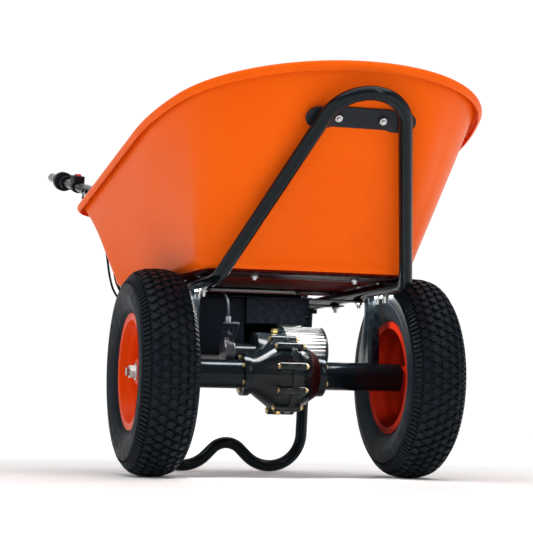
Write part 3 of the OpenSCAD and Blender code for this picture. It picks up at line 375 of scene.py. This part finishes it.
casting("cast_alloy", (0.56, 0.57, 0.58), (0.44, 0.45, 0.46), 0.38, 1.0, depth=0.0002)
paint("lever_alloy", (0.018, 0.020, 0.023), (0.028, 0.030, 0.033), 0.34)
metal("winding", (0.42, 0.17, 0.06), (0.30, 0.10, 0.04), 0.35, (1, 1, 80))
moulded("grip_rubber", (0.0040, 0.0048, 0.0065), (0.0070, 0.0078, 0.0100), 0.70, ior=1.12)
moulded("control_plastic", (0.0040, 0.0048, 0.0065), (0.0070, 0.0078, 0.0100), 0.45, ior=1.20)
moulded("button_plastic", (0.62, 0.010, 0.016), (0.55, 0.008, 0.012), 0.22, coat=0.4)
moulded("pack_plastic", (0.014, 0.016, 0.020), (0.022, 0.024, 0.030), 0.45)
moulded("cable_sheath", (0.006, 0.007, 0.009), (0.010, 0.011, 0.014), 0.38, ior=1.2)
moulded("tyre_rubber", (0.0036, 0.0072, 0.0120), (0.0064, 0.0110, 0.0165), 0.50, 1200.0, 0.00012, ior=1.22)
# Dark red for the underside of the tub's floor: painted shade, as that side lies in shadow
paint("tub_under", (0.115, 0.0052, 0.0010), (0.095, 0.0042, 0.0010), 0.60, ior=1.06)
moulded("tube_rubber", (0.014, 0.014, 0.016), (0.022, 0.022, 0.024), 0.55)
for part in frame["record"]["subparts"]:
    node = frame["nodes"][part["node"]]
    node.data.materials.clear()
    node.data.materials.append(materials[part["material_slot"]])
    node["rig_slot"] = part["material_slot"]

# ---------- tub ----------
floor_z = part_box("tub")[0].z            # underside of the tub's floor
rim_z, rim_rise = 0.634, 0.16           # the rim plane's height at the axle, and its slope
sheet = 0.002
bead_r = 0.009                          # radius of the rolled rim
top_in = 2 * bead_r - sheet             # how far the wall's top is inside the rim's outline
floor_round = 0.020                     # outer radius between floor and wall
floor_turn, roll_end = 75, -75          # degrees: where that rounding ends, and where the rolled rim ends
front_half = 0.100                      # half width of the flat front panel
front_belly, side_belly, waist = 0.028, -0.005, 0.010
belly_power = 1.6                       # above 1 it puts the walls' belly over half their height
front_from, front_span = 0.150, 0.360   # the front's shape starts here and is in full after the span
nose_c, nose_r, nose_end = np.array([0.206, 0]), 0.307, 74
side_r, side_end = 0.867, 88.5
rear_c, rear_r = np.array([-0.412, 0.290]), 0.055
floor_front_c, floor_front_r, floor_side_end = np.array([0.122, 0.144]), 0.072, 82
floor_rear_c, floor_rear_r = np.array([-0.305, 0.233]), 0.045
front_steps, corner_steps, side_steps, flank_steps, rear_steps, back_steps = 8, 30, 14, 8, 18, 12
# facing_down and near_floor pick the underside faces that get the painted shade
facing_down, near_floor = -0.6, 0.004   # the floor's underside: a face's normal, and its height over floor_z


def between(a, b, n):
    """n points on the way from a to b, with b the last."""
    return [a + (b - a) * i / n for i in range(1, n + 1)]


def mirrored(half):
    """A closed outline from its left half."""
    return half + [p * (1, -1) for p in half[-2:0:-1]]


def rim_half(o):
    """Left half of the rim's outline from above, from nose to tail, moved outward by o."""
    split = math.degrees(math.asin(front_half / nose_r))
    side_c = nose_c + (nose_r - side_r) * polar(nose_end)
    side = arc(side_c, side_r + o, nose_end, side_end, side_steps)[1:]
    rear = arc(rear_c, rear_r + o, side_end, 180, rear_steps)
    return (arc(nose_c, nose_r + o, 0, split, front_steps)
            + arc(nose_c, nose_r + o, split, nose_end, corner_steps)[1:] + side
            + between(side[-1], rear[0], flank_steps) + rear[1:]
            + between(rear[-1], np.array([rear[-1][0], 0]), back_steps))


def floor_half(o):
    """Left half of the floor's outline, with as many points as the rim's."""
    front = np.array([floor_front_c[0] + floor_front_r + o, 0])
    turn = arc(floor_front_c, floor_front_r + o, 0, floor_side_end, corner_steps)
    rear = arc(floor_rear_c, floor_rear_r + o, floor_side_end, 180, rear_steps)
    n = side_steps + flank_steps
    flank = [p - (0, waist * math.sin(math.pi * i / n))
             for i, p in enumerate(between(turn[-1], rear[0], n), 1)]
    return ([front] + between(front, turn[0], front_steps) + turn[1:] + flank + rear[1:]
            + between(rear[-1], np.array([rear[-1][0], 0]), back_steps))


def flat_share(y):
    """1 over the flat front panel, and 0 from twice its half width on."""
    t = max(0, min(1, abs(y) / front_half - 1))
    return 1 - t * t * (3 - 2 * t)


def wall_ring(k, o):
    """A ring of the wall at share k of its height, moved outward by o."""
    low, high = mirrored(floor_half(o)), mirrored(rim_half(o - top_in))
    nose, belly, ring = high[0][0], math.sin(math.pi * k ** belly_power), []
    for p, h in zip(low, high):
        flat = flat_share(h[1]) * (1 - k ** 3)
        q = np.array([h[0] + (nose - h[0]) * flat if h[0] > front_from else h[0], h[1]])
        ahead = max(0, (q[0] - front_from) / front_span)
        bulge = np.array([front_belly * ahead, side_belly * np.sign(q[1]) * (1 - ahead)])
        x, y = p + (q - p) * k + belly * bulge
        z0, z1 = floor_z + floor_round, rim_z + rim_rise * q[0]
        ring.append(np.array([axle_x + x, y, z0 + (z1 - z0) * k]))
    return ring


def floor_ring(r, a):
    """A ring of the rounding between floor and wall: radius r, a degrees from straight down."""
    c, s = polar(a)
    z = floor_z + floor_round - r * c
    return [np.array([axle_x + x, y, z]) for x, y in mirrored(floor_half(r * s - floor_round))]


def roll_ring(r, a):
    """A ring of the rolled rim: radius r, a degrees up from straight out."""
    c, s = polar(a)
    return [np.array([axle_x + x, y, rim_z + rim_rise * x + r * s])
            for x, y in mirrored(rim_half(r * c - bead_r))]


wall_steps = np.linspace(0, 1, 22)[:-1]
tub_rings = ([floor_ring(floor_round, a) for a in np.linspace(0, floor_turn, 6)]
             + [wall_ring(k, 0) for k in wall_steps]
             + [roll_ring(bead_r - sheet, a) for a in np.linspace(180, roll_end, 14)]
             + [roll_ring(bead_r, a) for a in np.linspace(roll_end, 180, 18)]
             + [wall_ring(k, -sheet) for k in wall_steps[::-1]]
             + [floor_ring(floor_round - sheet, a) for a in np.linspace(floor_turn, 0, 6)])
tub = piece("tub_shell", *skin(tub_rings), "chassis", "tub_paint")
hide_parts("tub")
# The floor's underside faces get the dark red as painted shade
paint_shade_on_faces(tub, "tub_under",
           lambda face: face.normal.z < facing_down and face.center.z < floor_z + near_floor)

# ---------- bent frame tubes ----------
tube_r, rail_y, rail_z, bend_r = 0.0127, 0.184, 0.371, 0.050
tube_sides, end_round = 40, 0.0008      # end_round: how much a tube's ends are drawn in


def at_axle(x, y, z):
    """A point with x counted from the axle."""
    return np.array([axle_x + x, y, z])


def tube(name, path, node):
    """A bent frame tube with softly closed ends that stands for a CAD node."""
    path = [np.array(p, float) for p in path]
    ends = [unit(path[0] - path[1]) * end_round, unit(path[-1] - path[-2]) * end_round]
    path = [path[0], path[0] - ends[0]] + path[1:-1] + [path[-1] - ends[1], path[-1]]
    radii = [tube_r - end_round] + [tube_r] * (len(path) - 2) + [tube_r - end_round]
    obj = piece(name, *skin(sweep_rings(path, radii, tube_sides)), "chassis", "frame_paint")
    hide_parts(node)


hoop_foot = at_axle(0.193, rail_y, rail_z)
hoop_peak = at_axle(0.6626, 0, 0.7995)
other_foot = hoop_foot * (1, -1, 1)
hoop_half = rounded([at_axle(0.060, rail_y, rail_z), hoop_foot, (hoop_foot + hoop_peak) / 2], [bend_r])
tube("hoop_tube", hoop_half + corner(hoop_foot, hoop_peak, other_foot, 0.076, 40)
     + [p * (1, -1, 1) for p in hoop_half[::-1]], "front_hoop")

handle_foot = np.array([-0.500, 0.282, 0.610])
handle_rise, handle_flare = math.radians(12), math.radians(3.2)
handle_way = np.array([-math.cos(handle_rise) * math.cos(handle_flare),
                       math.cos(handle_rise) * math.sin(handle_flare), math.sin(handle_rise)])
rail_points = [at_axle(0.060, rail_y, rail_z), at_axle(-0.500, rail_y, rail_z), at_axle(*handle_foot),
               at_axle(*(handle_foot + 0.125 * handle_way))]
for side, name in ((1, "left"), (-1, "right")):
    rail_path = [p * (1, side, 1) for p in rounded(rail_points, [bend_r, bend_r])]
    tube(f"rail_tube_{name}", rail_path, f"rail_{name}")

stand_x = -0.423
stand_top = rail_z - tube_r - 0.006
foot_y, foot_z, hump_z = 0.1664, -0.0829, 0.0799    # corners of the foot lines before they are rounded
stand_path = rounded([at_axle(stand_x, rail_y, stand_top), at_axle(stand_x, foot_y, foot_z),
                      at_axle(stand_x, 0, hump_z), at_axle(stand_x, -foot_y, foot_z),
                      at_axle(stand_x, -rail_y, stand_top)], [0.074, 0.044, 0.074])
tube("stand_tube", stand_path, "rear_stand")

# ---------- grips ----------
grip_r, grip_end, bore_r = 0.0185, 0.518, 0.0125
rib_pitch, rib_margin = 0.0066, 0.012


def grip(name, side, start, body, node):
    """Meant as a ribbed rubber grip over the end of a handle, but it shows nothing.

    Open fault: the profile's first two points share one place along the handle, so sweep_rings gets a step
    of no length, unit divides by zero, and the whole mesh collapses into a point at the origin.
    """
    along = handle_way * (1, side, 1)
    foot = at_axle(*(handle_foot * (1, side, 1)))
    profile = [(start, bore_r + 0.0006), (start, grip_r + 0.0020), (start + 0.0012, grip_r + 0.0034),
               (start + 0.0046, grip_r + 0.0034), (start + 0.0062, grip_r + 0.0016),
               (start + 0.0085, grip_r - 0.0014)]
    for at in np.arange(start + rib_margin, grip_end - rib_margin, rib_pitch):
        profile += [(at, grip_r - 0.0014), (at + 0.0010, grip_r - 0.0002), (at + 0.0034, grip_r - 0.0002),
                    (at + 0.0044, grip_r - 0.0014)]
    profile += [(grip_end - 0.0085, grip_r - 0.0012), (grip_end - 0.0070, grip_r), (grip_end - 0.0030, grip_r),
                (grip_end - 0.0008, grip_r - 0.0022), (grip_end, grip_r - 0.0050)]
    path = [foot + along * at for at, r in profile]
    obj = piece(name, *skin(sweep_rings(path, [r for at, r in profile], 64)), body, "grip_rubber", 34)
    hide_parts(node)


grip("throttle_grip_ribbed", -1, 0.396, "throttle", "throttle_grip")
grip("left_grip_ribbed", 1, 0.372, "chassis", "grip_left")

# ---------- cables ----------
handle_origin = at_axle(handle_foot[0], -handle_foot[1], handle_foot[2])


def by_handle(s, up, left):
    """A point s back along the right handle from its foot, up and left of its axis."""
    x = -s * math.cos(handle_rise) + up * math.sin(handle_rise)
    c, q = math.cos(handle_flare), math.sin(handle_flare)
    return handle_origin + np.array([c * x - q * left, q * x + c * left,
                                     s * math.sin(handle_rise) + up * math.cos(handle_rise)])


arm_at = np.array(joint["brake_arm_pull"]["pos_m"])
pull_at = arm_at + (0.0368, 0, 0.028)   # where the brake cable enters its stop above the arm
brake_on_handle = ((0.332, 0, 0.031), (0.318, 0, 0.030), (0.300, -0.004, 0.029), (0.270, -0.014, 0.026),
                   (0.240, -0.023, 0.019), (0.210, -0.025, 0.011), (0.180, -0.023, 0.004),
                   (0.140, -0.020, 0), (0.100, -0.020, 0), (0.060, -0.020, 0))
brake_below = ((-0.537, -0.272, 0.572), (-0.530, -0.262, 0.522), (-0.524, -0.256, 0.470),
               (-0.520, -0.250, 0.428), (-0.519, -0.240, 0.396), (-0.519, -0.220, 0.370),
               (-0.514, -0.196, 0.351), (-0.494, -0.176, 0.345), (-0.464, -0.164, 0.350),
               (-0.420, -0.161, 0.362), (-0.340, -0.163, 0.369), (-0.240, -0.163, 0.370),
               (-0.150, -0.163, 0.370), (-0.100, -0.154, 0.368), (-0.060, -0.130, 0.362),
               (-0.024, -0.118, 0.360), (-0.002, -0.1145, 0.347))
brake_route = ([by_handle(*p) for p in brake_on_handle] + [at_axle(*p) for p in brake_below]
               + [np.array([pull_at[0], pull_at[1], 0.328]), pull_at])
control_below = ((-0.540, -0.256, 0.576), (-0.534, -0.246, 0.522), (-0.528, -0.240, 0.468),
                 (-0.523, -0.236, 0.425), (-0.521, -0.222, 0.394), (-0.519, -0.200, 0.377),
                 (-0.510, -0.176, 0.369), (-0.488, -0.151, 0.367), (-0.450, -0.118, 0.367),
                 (-0.400, -0.084, 0.366), (-0.350, -0.052, 0.362), (-0.300, -0.030, 0.350),
                 (-0.240, -0.020, 0.336), (-0.1914, -0.015, 0.322))
control_route = ([by_handle(s, -0.012, 0.021) for s in (0.3717, 0.358, 0.340)]
                 + [by_handle(s, -0.012, 0.016) for s in (0.300, 0.260, 0.220, 0.180, 0.140, 0.100, 0.060)]
                 + [at_axle(*p) for p in control_below])
motor_route = [at_axle(*p) for p in ((-0.191, 0.045, 0.320), (-0.222, 0.046, 0.321), (-0.250, 0.050, 0.312),
                                     (-0.262, 0.056, 0.290), (-0.250, 0.060, 0.267), (-0.222, 0.062, 0.254),
                                     (-0.180, 0.062, 0.2515), (-0.1435, 0.062, 0.2513))]
cable_steps, cable_sides = 5, 20
for name, route, diameter, length, stiffness, node in (
        ("brake_cable_sheath", brake_route, 0.0050, 1.150, "stiff", "brake_cable"),
        ("control_cable_sheath", control_route, 0.0070, 0.973, "medium", "control_cable"),
        ("motor_lead_sheath", motor_route, 0.0080, 0.224, "limp", "motor_lead")):
    path = through(route, cable_steps)
    cable = piece(name, *skin(sweep_rings(path, diameter / 2, cable_sides)), "chassis", "cable_sheath")
    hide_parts(node)

# ---------- wheels ----------
tyre_half = [(0.200, 0), (0.200, 0.008), (0.1985, 0.022), (0.194, 0.0355), (0.187, 0.0455), (0.178, 0.0525),
             (0.166, 0.0562), (0.152, 0.0570), (0.136, 0.0535), (0.122, 0.0475), (0.1135, 0.0405)]
groove = 0.0058                         # depth of the tread's grooves
tread_edge = 0.066                      # half width of the tread along the tyre's surface
pitches, row_pitch = 60, 0.0172         # patterns round the tyre, and the distance between rows of blocks
near = 0.001                            # step for the outline's direction
ridges_at, ridge_height, ridge_width = (0.088, 0.116), 0.0009, 0.0011
block_root = 0.001                      # how far a tread block reaches below the grooves
block_edge, block_top = 0.0009, 0.07    # depth of a block's chamfer, and how much it narrows the top
tyre_sides, rim_sides = 180, 160


class Outline:
    """The tyre's outer section by distance along it from the middle."""

    def __init__(self, points):
        self.p = np.array(through(points, 10))
        steps = np.linalg.norm(np.diff(self.p, axis=0), axis=1)
        self.s = np.concatenate([[0], np.cumsum(steps)])
        self.length = self.s[-1]

    def at(self, s, depth):
        """(radius, y) at distance s, sunk by depth; a negative s is on the other side."""
        a = abs(s)
        here = np.array([np.interp(a, self.s, self.p[:, k]) for k in (0, 1)])
        ahead = np.array([np.interp(a + near, self.s, self.p[:, k]) for k in (0, 1)])
        behind = np.array([np.interp(max(0, a - near), self.s, self.p[:, k]) for k in (0, 1)])
        t = unit(ahead - behind)
        out = here - depth * np.array([t[1], -t[0]])
        return out * (1, -1 if s < 0 else 1)


outline = Outline(tyre_half)


def carcass_section():
    """The closed section: sunk under the tread, full on the sidewalls with two fine ridges."""
    outer = []
    for s in np.linspace(-outline.length, outline.length, 181):
        a = abs(s)
        sink = groove * max(0, min(1, (tread_edge + 0.003 - a) / 0.004))
        ridge = sum(ridge_height * math.exp(-((a - at) / ridge_width) ** 2) for at in ridges_at)
        outer.append(outline.at(s, sink - ridge))
    inner = [(0.1017, 0.040), (0.1017, 0.028), (0.110, 0.028), (0.119, 0.040), (0.134, 0.0465), (0.152, 0.0495),
             (0.170, 0.047), (0.181, 0.037), (0.187, 0.022), (0.189, 0)]
    return outer + inner + [(r, -y) for r, y in inner[-2::-1]]


def block(corners, height, taper):
    """A tread block of a height; corners are (distance along the section, distance round the tyre)."""
    middle = sum(np.array(c) for c in corners) / len(corners)
    verts = []
    for depth, share in ((groove + block_root, 1.0), (block_edge + groove - height, 1 - taper),
                         (groove - height, 1 - taper - block_top)):
        for c in corners:
            s, w = middle + (np.array(c) - middle) * share
            r, y = outline.at(s, depth)
            a = w / wheel_r
            verts.append(np.array([r * math.cos(a), y, r * math.sin(a)]))
    n = len(corners)
    faces = [(k * n + j, k * n + (j + 1) % n, (k + 1) * n + (j + 1) % n, (k + 1) * n + j)
             for k in (0, 1) for j in range(n)]
    faces.append(tuple(range(2 * n, 3 * n)))
    return verts, faces


def tread():
    """Rows of hexagonal blocks with small diamonds between them and bars over each shoulder."""
    verts, faces = [], []
    pitch = 2 * math.pi * wheel_r / pitches

    def add(corners, height=groove, taper=0.12):
        v, f = block(corners, height, taper)
        faces.extend(tuple(i + len(verts) for i in face) for face in f)
        verts.extend(v)

    hexagon = [(0.0085 * math.cos(math.radians(a)), 0.0083 * math.sin(math.radians(a)))
               for a in range(0, 360, 60)]
    small = [(0.0045, 0.0), (0.0, 0.0040), (-0.0045, 0.0), (0.0, -0.0040)]
    bar = ((0.0445, -0.0030), (0.0640, -0.0034), (0.0640, 0.0034), (0.0445, 0.0030))
    for k in range(pitches):
        w = k * pitch
        for row in (-2, -1, 0, 1, 2):
            shift = pitch / 2 if row % 2 else 0
            add([(row * row_pitch + s, w + shift + q) for s, q in hexagon])
            if row < 2:
                add([(row * row_pitch + row_pitch / 2 + s, w + shift + pitch / 2 + q * 0.6) for s, q in small],
                    groove * 0.7)
        for side in (-1, 1):
            for half in (0, 1):
                q = w + half * pitch / 2
                add([(side * s, q + d) for s, d in bar][::side], groove * 0.9, 0.10)
    return verts, faces


rim_half_outer = [(0.1130, 0.0428), (0.1124, 0.0434), (0.1110, 0.0434), (0.1085, 0.0430), (0.0995, 0.0430),
                  (0.0985, 0.0415), (0.0982, 0.030), (0.0935, 0.0255), (0.0900, 0.0185), (0.0895, 0.008),
                  (0.0875, 0.0015), (0.0800, 0.0045), (0.0740, 0.0072), (0.0640, 0.0118), (0.0520, 0.0152),
                  (0.0400, 0.0162), (0.0300, 0.0168), (0.0262, 0.0180), (0.0248, 0.0205), (0.0243, 0.0290),
                  (0.0236, 0.0298), (0.0110, 0.0300)]
rim_half_inner = [(0.0110, -0.0200), (0.0234, -0.0200), (0.0242, -0.0190), (0.0245, 0.0110), (0.0270, 0.0134),
                  (0.0510, 0.0112), (0.0640, 0.0075), (0.0740, 0.0032), (0.0850, -0.0030), (0.0886, -0.0070),
                  (0.0900, -0.0180), (0.0935, -0.0255), (0.0982, -0.030), (0.0985, -0.0415), (0.0995, -0.0430),
                  (0.1085, -0.0430), (0.1110, -0.0434), (0.1124, -0.0434), (0.1130, -0.0428), (0.1130, -0.0406),
                  (0.1014, -0.0404), (0.1012, -0.0260), (0.0930, -0.0215), (0.0930, 0.0215), (0.1012, 0.0260),
                  (0.1014, 0.0404), (0.1130, 0.0406)]
# Radii and y of a line inside the dish's sheet: faces on the inner side of it get the dark inside paint, painted
# shade
rim_middle = (0.026, 0.051, 0.064, 0.085), (0.0145, 0.0132, 0.0096, 0.0)
for side, name in ((1, "left"), (-1, "right")):
    hub, body = (axle_x, side * wheel_y, axle_z), f"{name}_wheel"
    v, f = revolve(carcass_section(), tyre_sides)
    carcass = piece(f"tyre_carcass_{name}", placed(v, hub, side), f, body, "tyre_rubber")
    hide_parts(f"tyre_{name}")
    v, f = tread()
    piece(f"tyre_tread_{name}", placed(v, hub, side), f, body, "tyre_rubber", 30)
    v, f = revolve(rim_half_outer + rim_half_inner, rim_sides)
    rim = piece(f"rim_dish_{name}", placed(v, hub, side), f, body, "rim_paint", 50)
    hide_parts(f"rim_{name}")
    # The rim's inner faces get the dark red as painted shade
    paint_shade_on_faces(rim, "rim_inside", lambda face: side * face.center.y - wheel_y < np.interp(
        math.hypot(face.center.x - axle_x, face.center.z - axle_z), *rim_middle))

# ---------- transaxle, box and fittings: the CAD shapes with broken edges ----------
# Nodes whose look needs another material than that of their own slot; the cross straps take the dark red ring
# paint as painted shade under the tub
shown_as = {"cross_straps": "ring_paint", "frame_bolts": "frame_paint", "brake_drum": "diff_iron",
            "brake_arm": "strap_paint"}
for node, bevel in (("gearbox_case", 0.0012), ("gearbox_cover", 0.0012), ("spacer_ring", 0.001),
                    ("motor_end_caps", 0.001), ("motor_housing", 0.0004), ("axle_tube_left", 0.0008),
                    ("axle_tube_right", 0.0008), ("hoop_strap", 0.0008), ("uprights", 0.0006),
                    ("stand_saddles", 0.0006), ("cross_straps", 0.0005), ("battery_box", 0.0012),
                    ("brake_band", 0.0005), ("throttle_housing", 0.0015), ("switch_box", 0.0015),
                    ("lever_perch", 0.0012), ("gearbox_bolts", 0.0003), ("gearbox_plugs", 0.0004),
                    ("tub_bolts", 0.0003), ("frame_bolts", 0.0003), ("hub_nut_left", 0.0005),
                    ("hub_nut_right", 0.0005), ("handle_left", 0.0003), ("handle_right", 0.0003),
                    ("brake_lever", 0.0015), ("red_button", 0.001), ("brake_arm", 0.0004),
                    ("battery_pack", 0.002), ("brake_drum", 0.0006)):
    slot = next(p["material_slot"] for p in frame["record"]["subparts"] if p["node"] == node)
    body = next(b for b, members in frame["record"]["behaviour"]["bodies"].items() if node in members)
    rounded_copy(node, body, shown_as.get(node, slot), bevel)

lid_round = 0.012                       # radius of the lid's corners


def lid(name, low, high, ribs, body, slot):
    """A shallow moulded lid: rounded corners, a stepped edge and raised ribs along X."""
    (x0, y0, z0), (x1, y1, z1) = low, high
    rings = []
    for z, inset in ((z0, 0.0), (z0 + 0.003, 0.0), (z0 + 0.0036, 0.0008), (z0 + 0.0036, 0.004),
                     (z1 - 0.001, 0.0046), (z1, 0.0056)):
        a, b, c, d, r = x0 + inset, y0 + inset, x1 - inset, y1 - inset, lid_round - inset
        turns = ((c - r, d - r), 0), ((a + r, d - r), 90), ((a + r, b + r), 180), ((c - r, b + r), 270)
        rings.append([np.array([*p, z])
                      for centre, start in turns for p in arc(centre, r, start, start + 90, 6)])
    piece(name, *skin(rings), body, slot, 30)
    section = (-0.004, 0), (-0.003, 0.0018), (0.003, 0.0018), (0.004, 0)
    stations = (x0 + 0.02, 0.6), (x0 + 0.023, 1), (x1 - 0.023, 1), (x1 - 0.02, 0.6)     # x, share of width
    for i, y in enumerate(ribs):
        rib = [[np.array([x, y + w * q, z1 - 0.0004 + h]) for w, h in section] for x, q in stations]
        piece(f"{name}_rib_{i}", *skin(rib), body, slot, 30)


lid("box_lid", (axle_x - 0.235, -0.150, 0.3582), (axle_x - 0.098, 0.075, 0.3690), (-0.11, -0.06, -0.01, 0.04),
    "chassis", "box_paint")

# ---------- floor and light ----------
floor_mesh = bpy.data.meshes.new("floor")
reach = 14.0                            # half the floor's width
floor_mesh.from_pydata([(x * reach, y * reach, 0) for x, y in ((-1, -1), (1, -1), (1, 1), (-1, 1))],
                       [], [(0, 1, 2, 3)])
floor = bpy.data.objects.new("floor", floor_mesh)
scene.collection.objects.link(floor)
pale = Nodes("floor")
pale.set(Base_Color=pale.mix(pale.noise(2.0), (0.95, 0.95, 0.95), (0.93, 0.93, 0.93)), Roughness=0.6,
         Specular_IOR_Level=0.2, Emission_Color=(1.0, 1.0, 1.0))

# The floor glows more from 1 to 3 m away, so that it meets the white wall without a line
far = pale.tree.nodes.new("ShaderNodeVectorMath")
far.operation = "LENGTH"
pale.link(pale.place, far.inputs[0])
pale.set(Emission_Strength=pale.spread(far.outputs["Value"], 0.0, 0.62, 1.0, 3.0))
floor_mesh.materials.append(pale.material)


def softbox(name, at, towards, size, power):
    """A white rectangular light."""
    data = bpy.data.lights.new(name, "AREA")
    data.shape = "RECTANGLE"
    data.size, data.size_y = size
    data.energy = power
    lamp = bpy.data.objects.new(name, data)
    scene.collection.objects.link(lamp)
    lamp.location = at
    lamp.rotation_euler = (Vector(towards) - Vector(at)).to_track_quat("-Z", "Y").to_euler()
    return lamp


softbox("overhead", (0.8, 0.0, 3.4), (0.3, 0, 0.4), (5.0, 4.0), 120)
softbox("right_wall", (1.4, -3.2, 1.3), (0.3, 0, 0.5), (2.6, 1.6), 12)
softbox("front_strip", (3.4, 1.5, 2.4), (0.3, 0, 0.4), (0.5, 2.4), 22)
under = softbox("under_strip", (axle_x + 0.03, 0.0, 0.362), (axle_x + 0.03, 0, 0.2), (0.05, 0.60), 3.0)
under.rotation_euler = (0, 0, 0)        # straight down, its long side across the machine
under.visible_camera = False

# The studio wall that the camera looks at is white, and the rest of the room is dimmer
wall_way = (-0.957, 0.279, 0.08)
world = bpy.data.worlds.new("studio")
world.use_nodes = True
sky = world.node_tree
direction = sky.nodes.new("ShaderNodeTexCoord").outputs["Generated"]
towards = sky.nodes.new("ShaderNodeVectorMath")
towards.operation = "DOT_PRODUCT"
towards.inputs[1].default_value = wall_way
fade = sky.nodes.new("ShaderNodeMapRange")
sky.links.new(direction, towards.inputs[0])
sky.links.new(towards.outputs["Value"], fade.inputs["Value"])
for socket, v in (("From Min", 0.70), ("From Max", 0.95), ("To Min", 0.38), ("To Max", 1.03)):
    fade.inputs[socket].default_value = v
sky.links.new(fade.outputs["Result"], sky.nodes["Background"].inputs["Strength"])
sky.nodes["Background"].inputs["Color"].default_value = (1, 1, 1, 1)
scene.world = world
scene.view_settings.view_transform = "Standard"     # no tone curve, so that white stays white
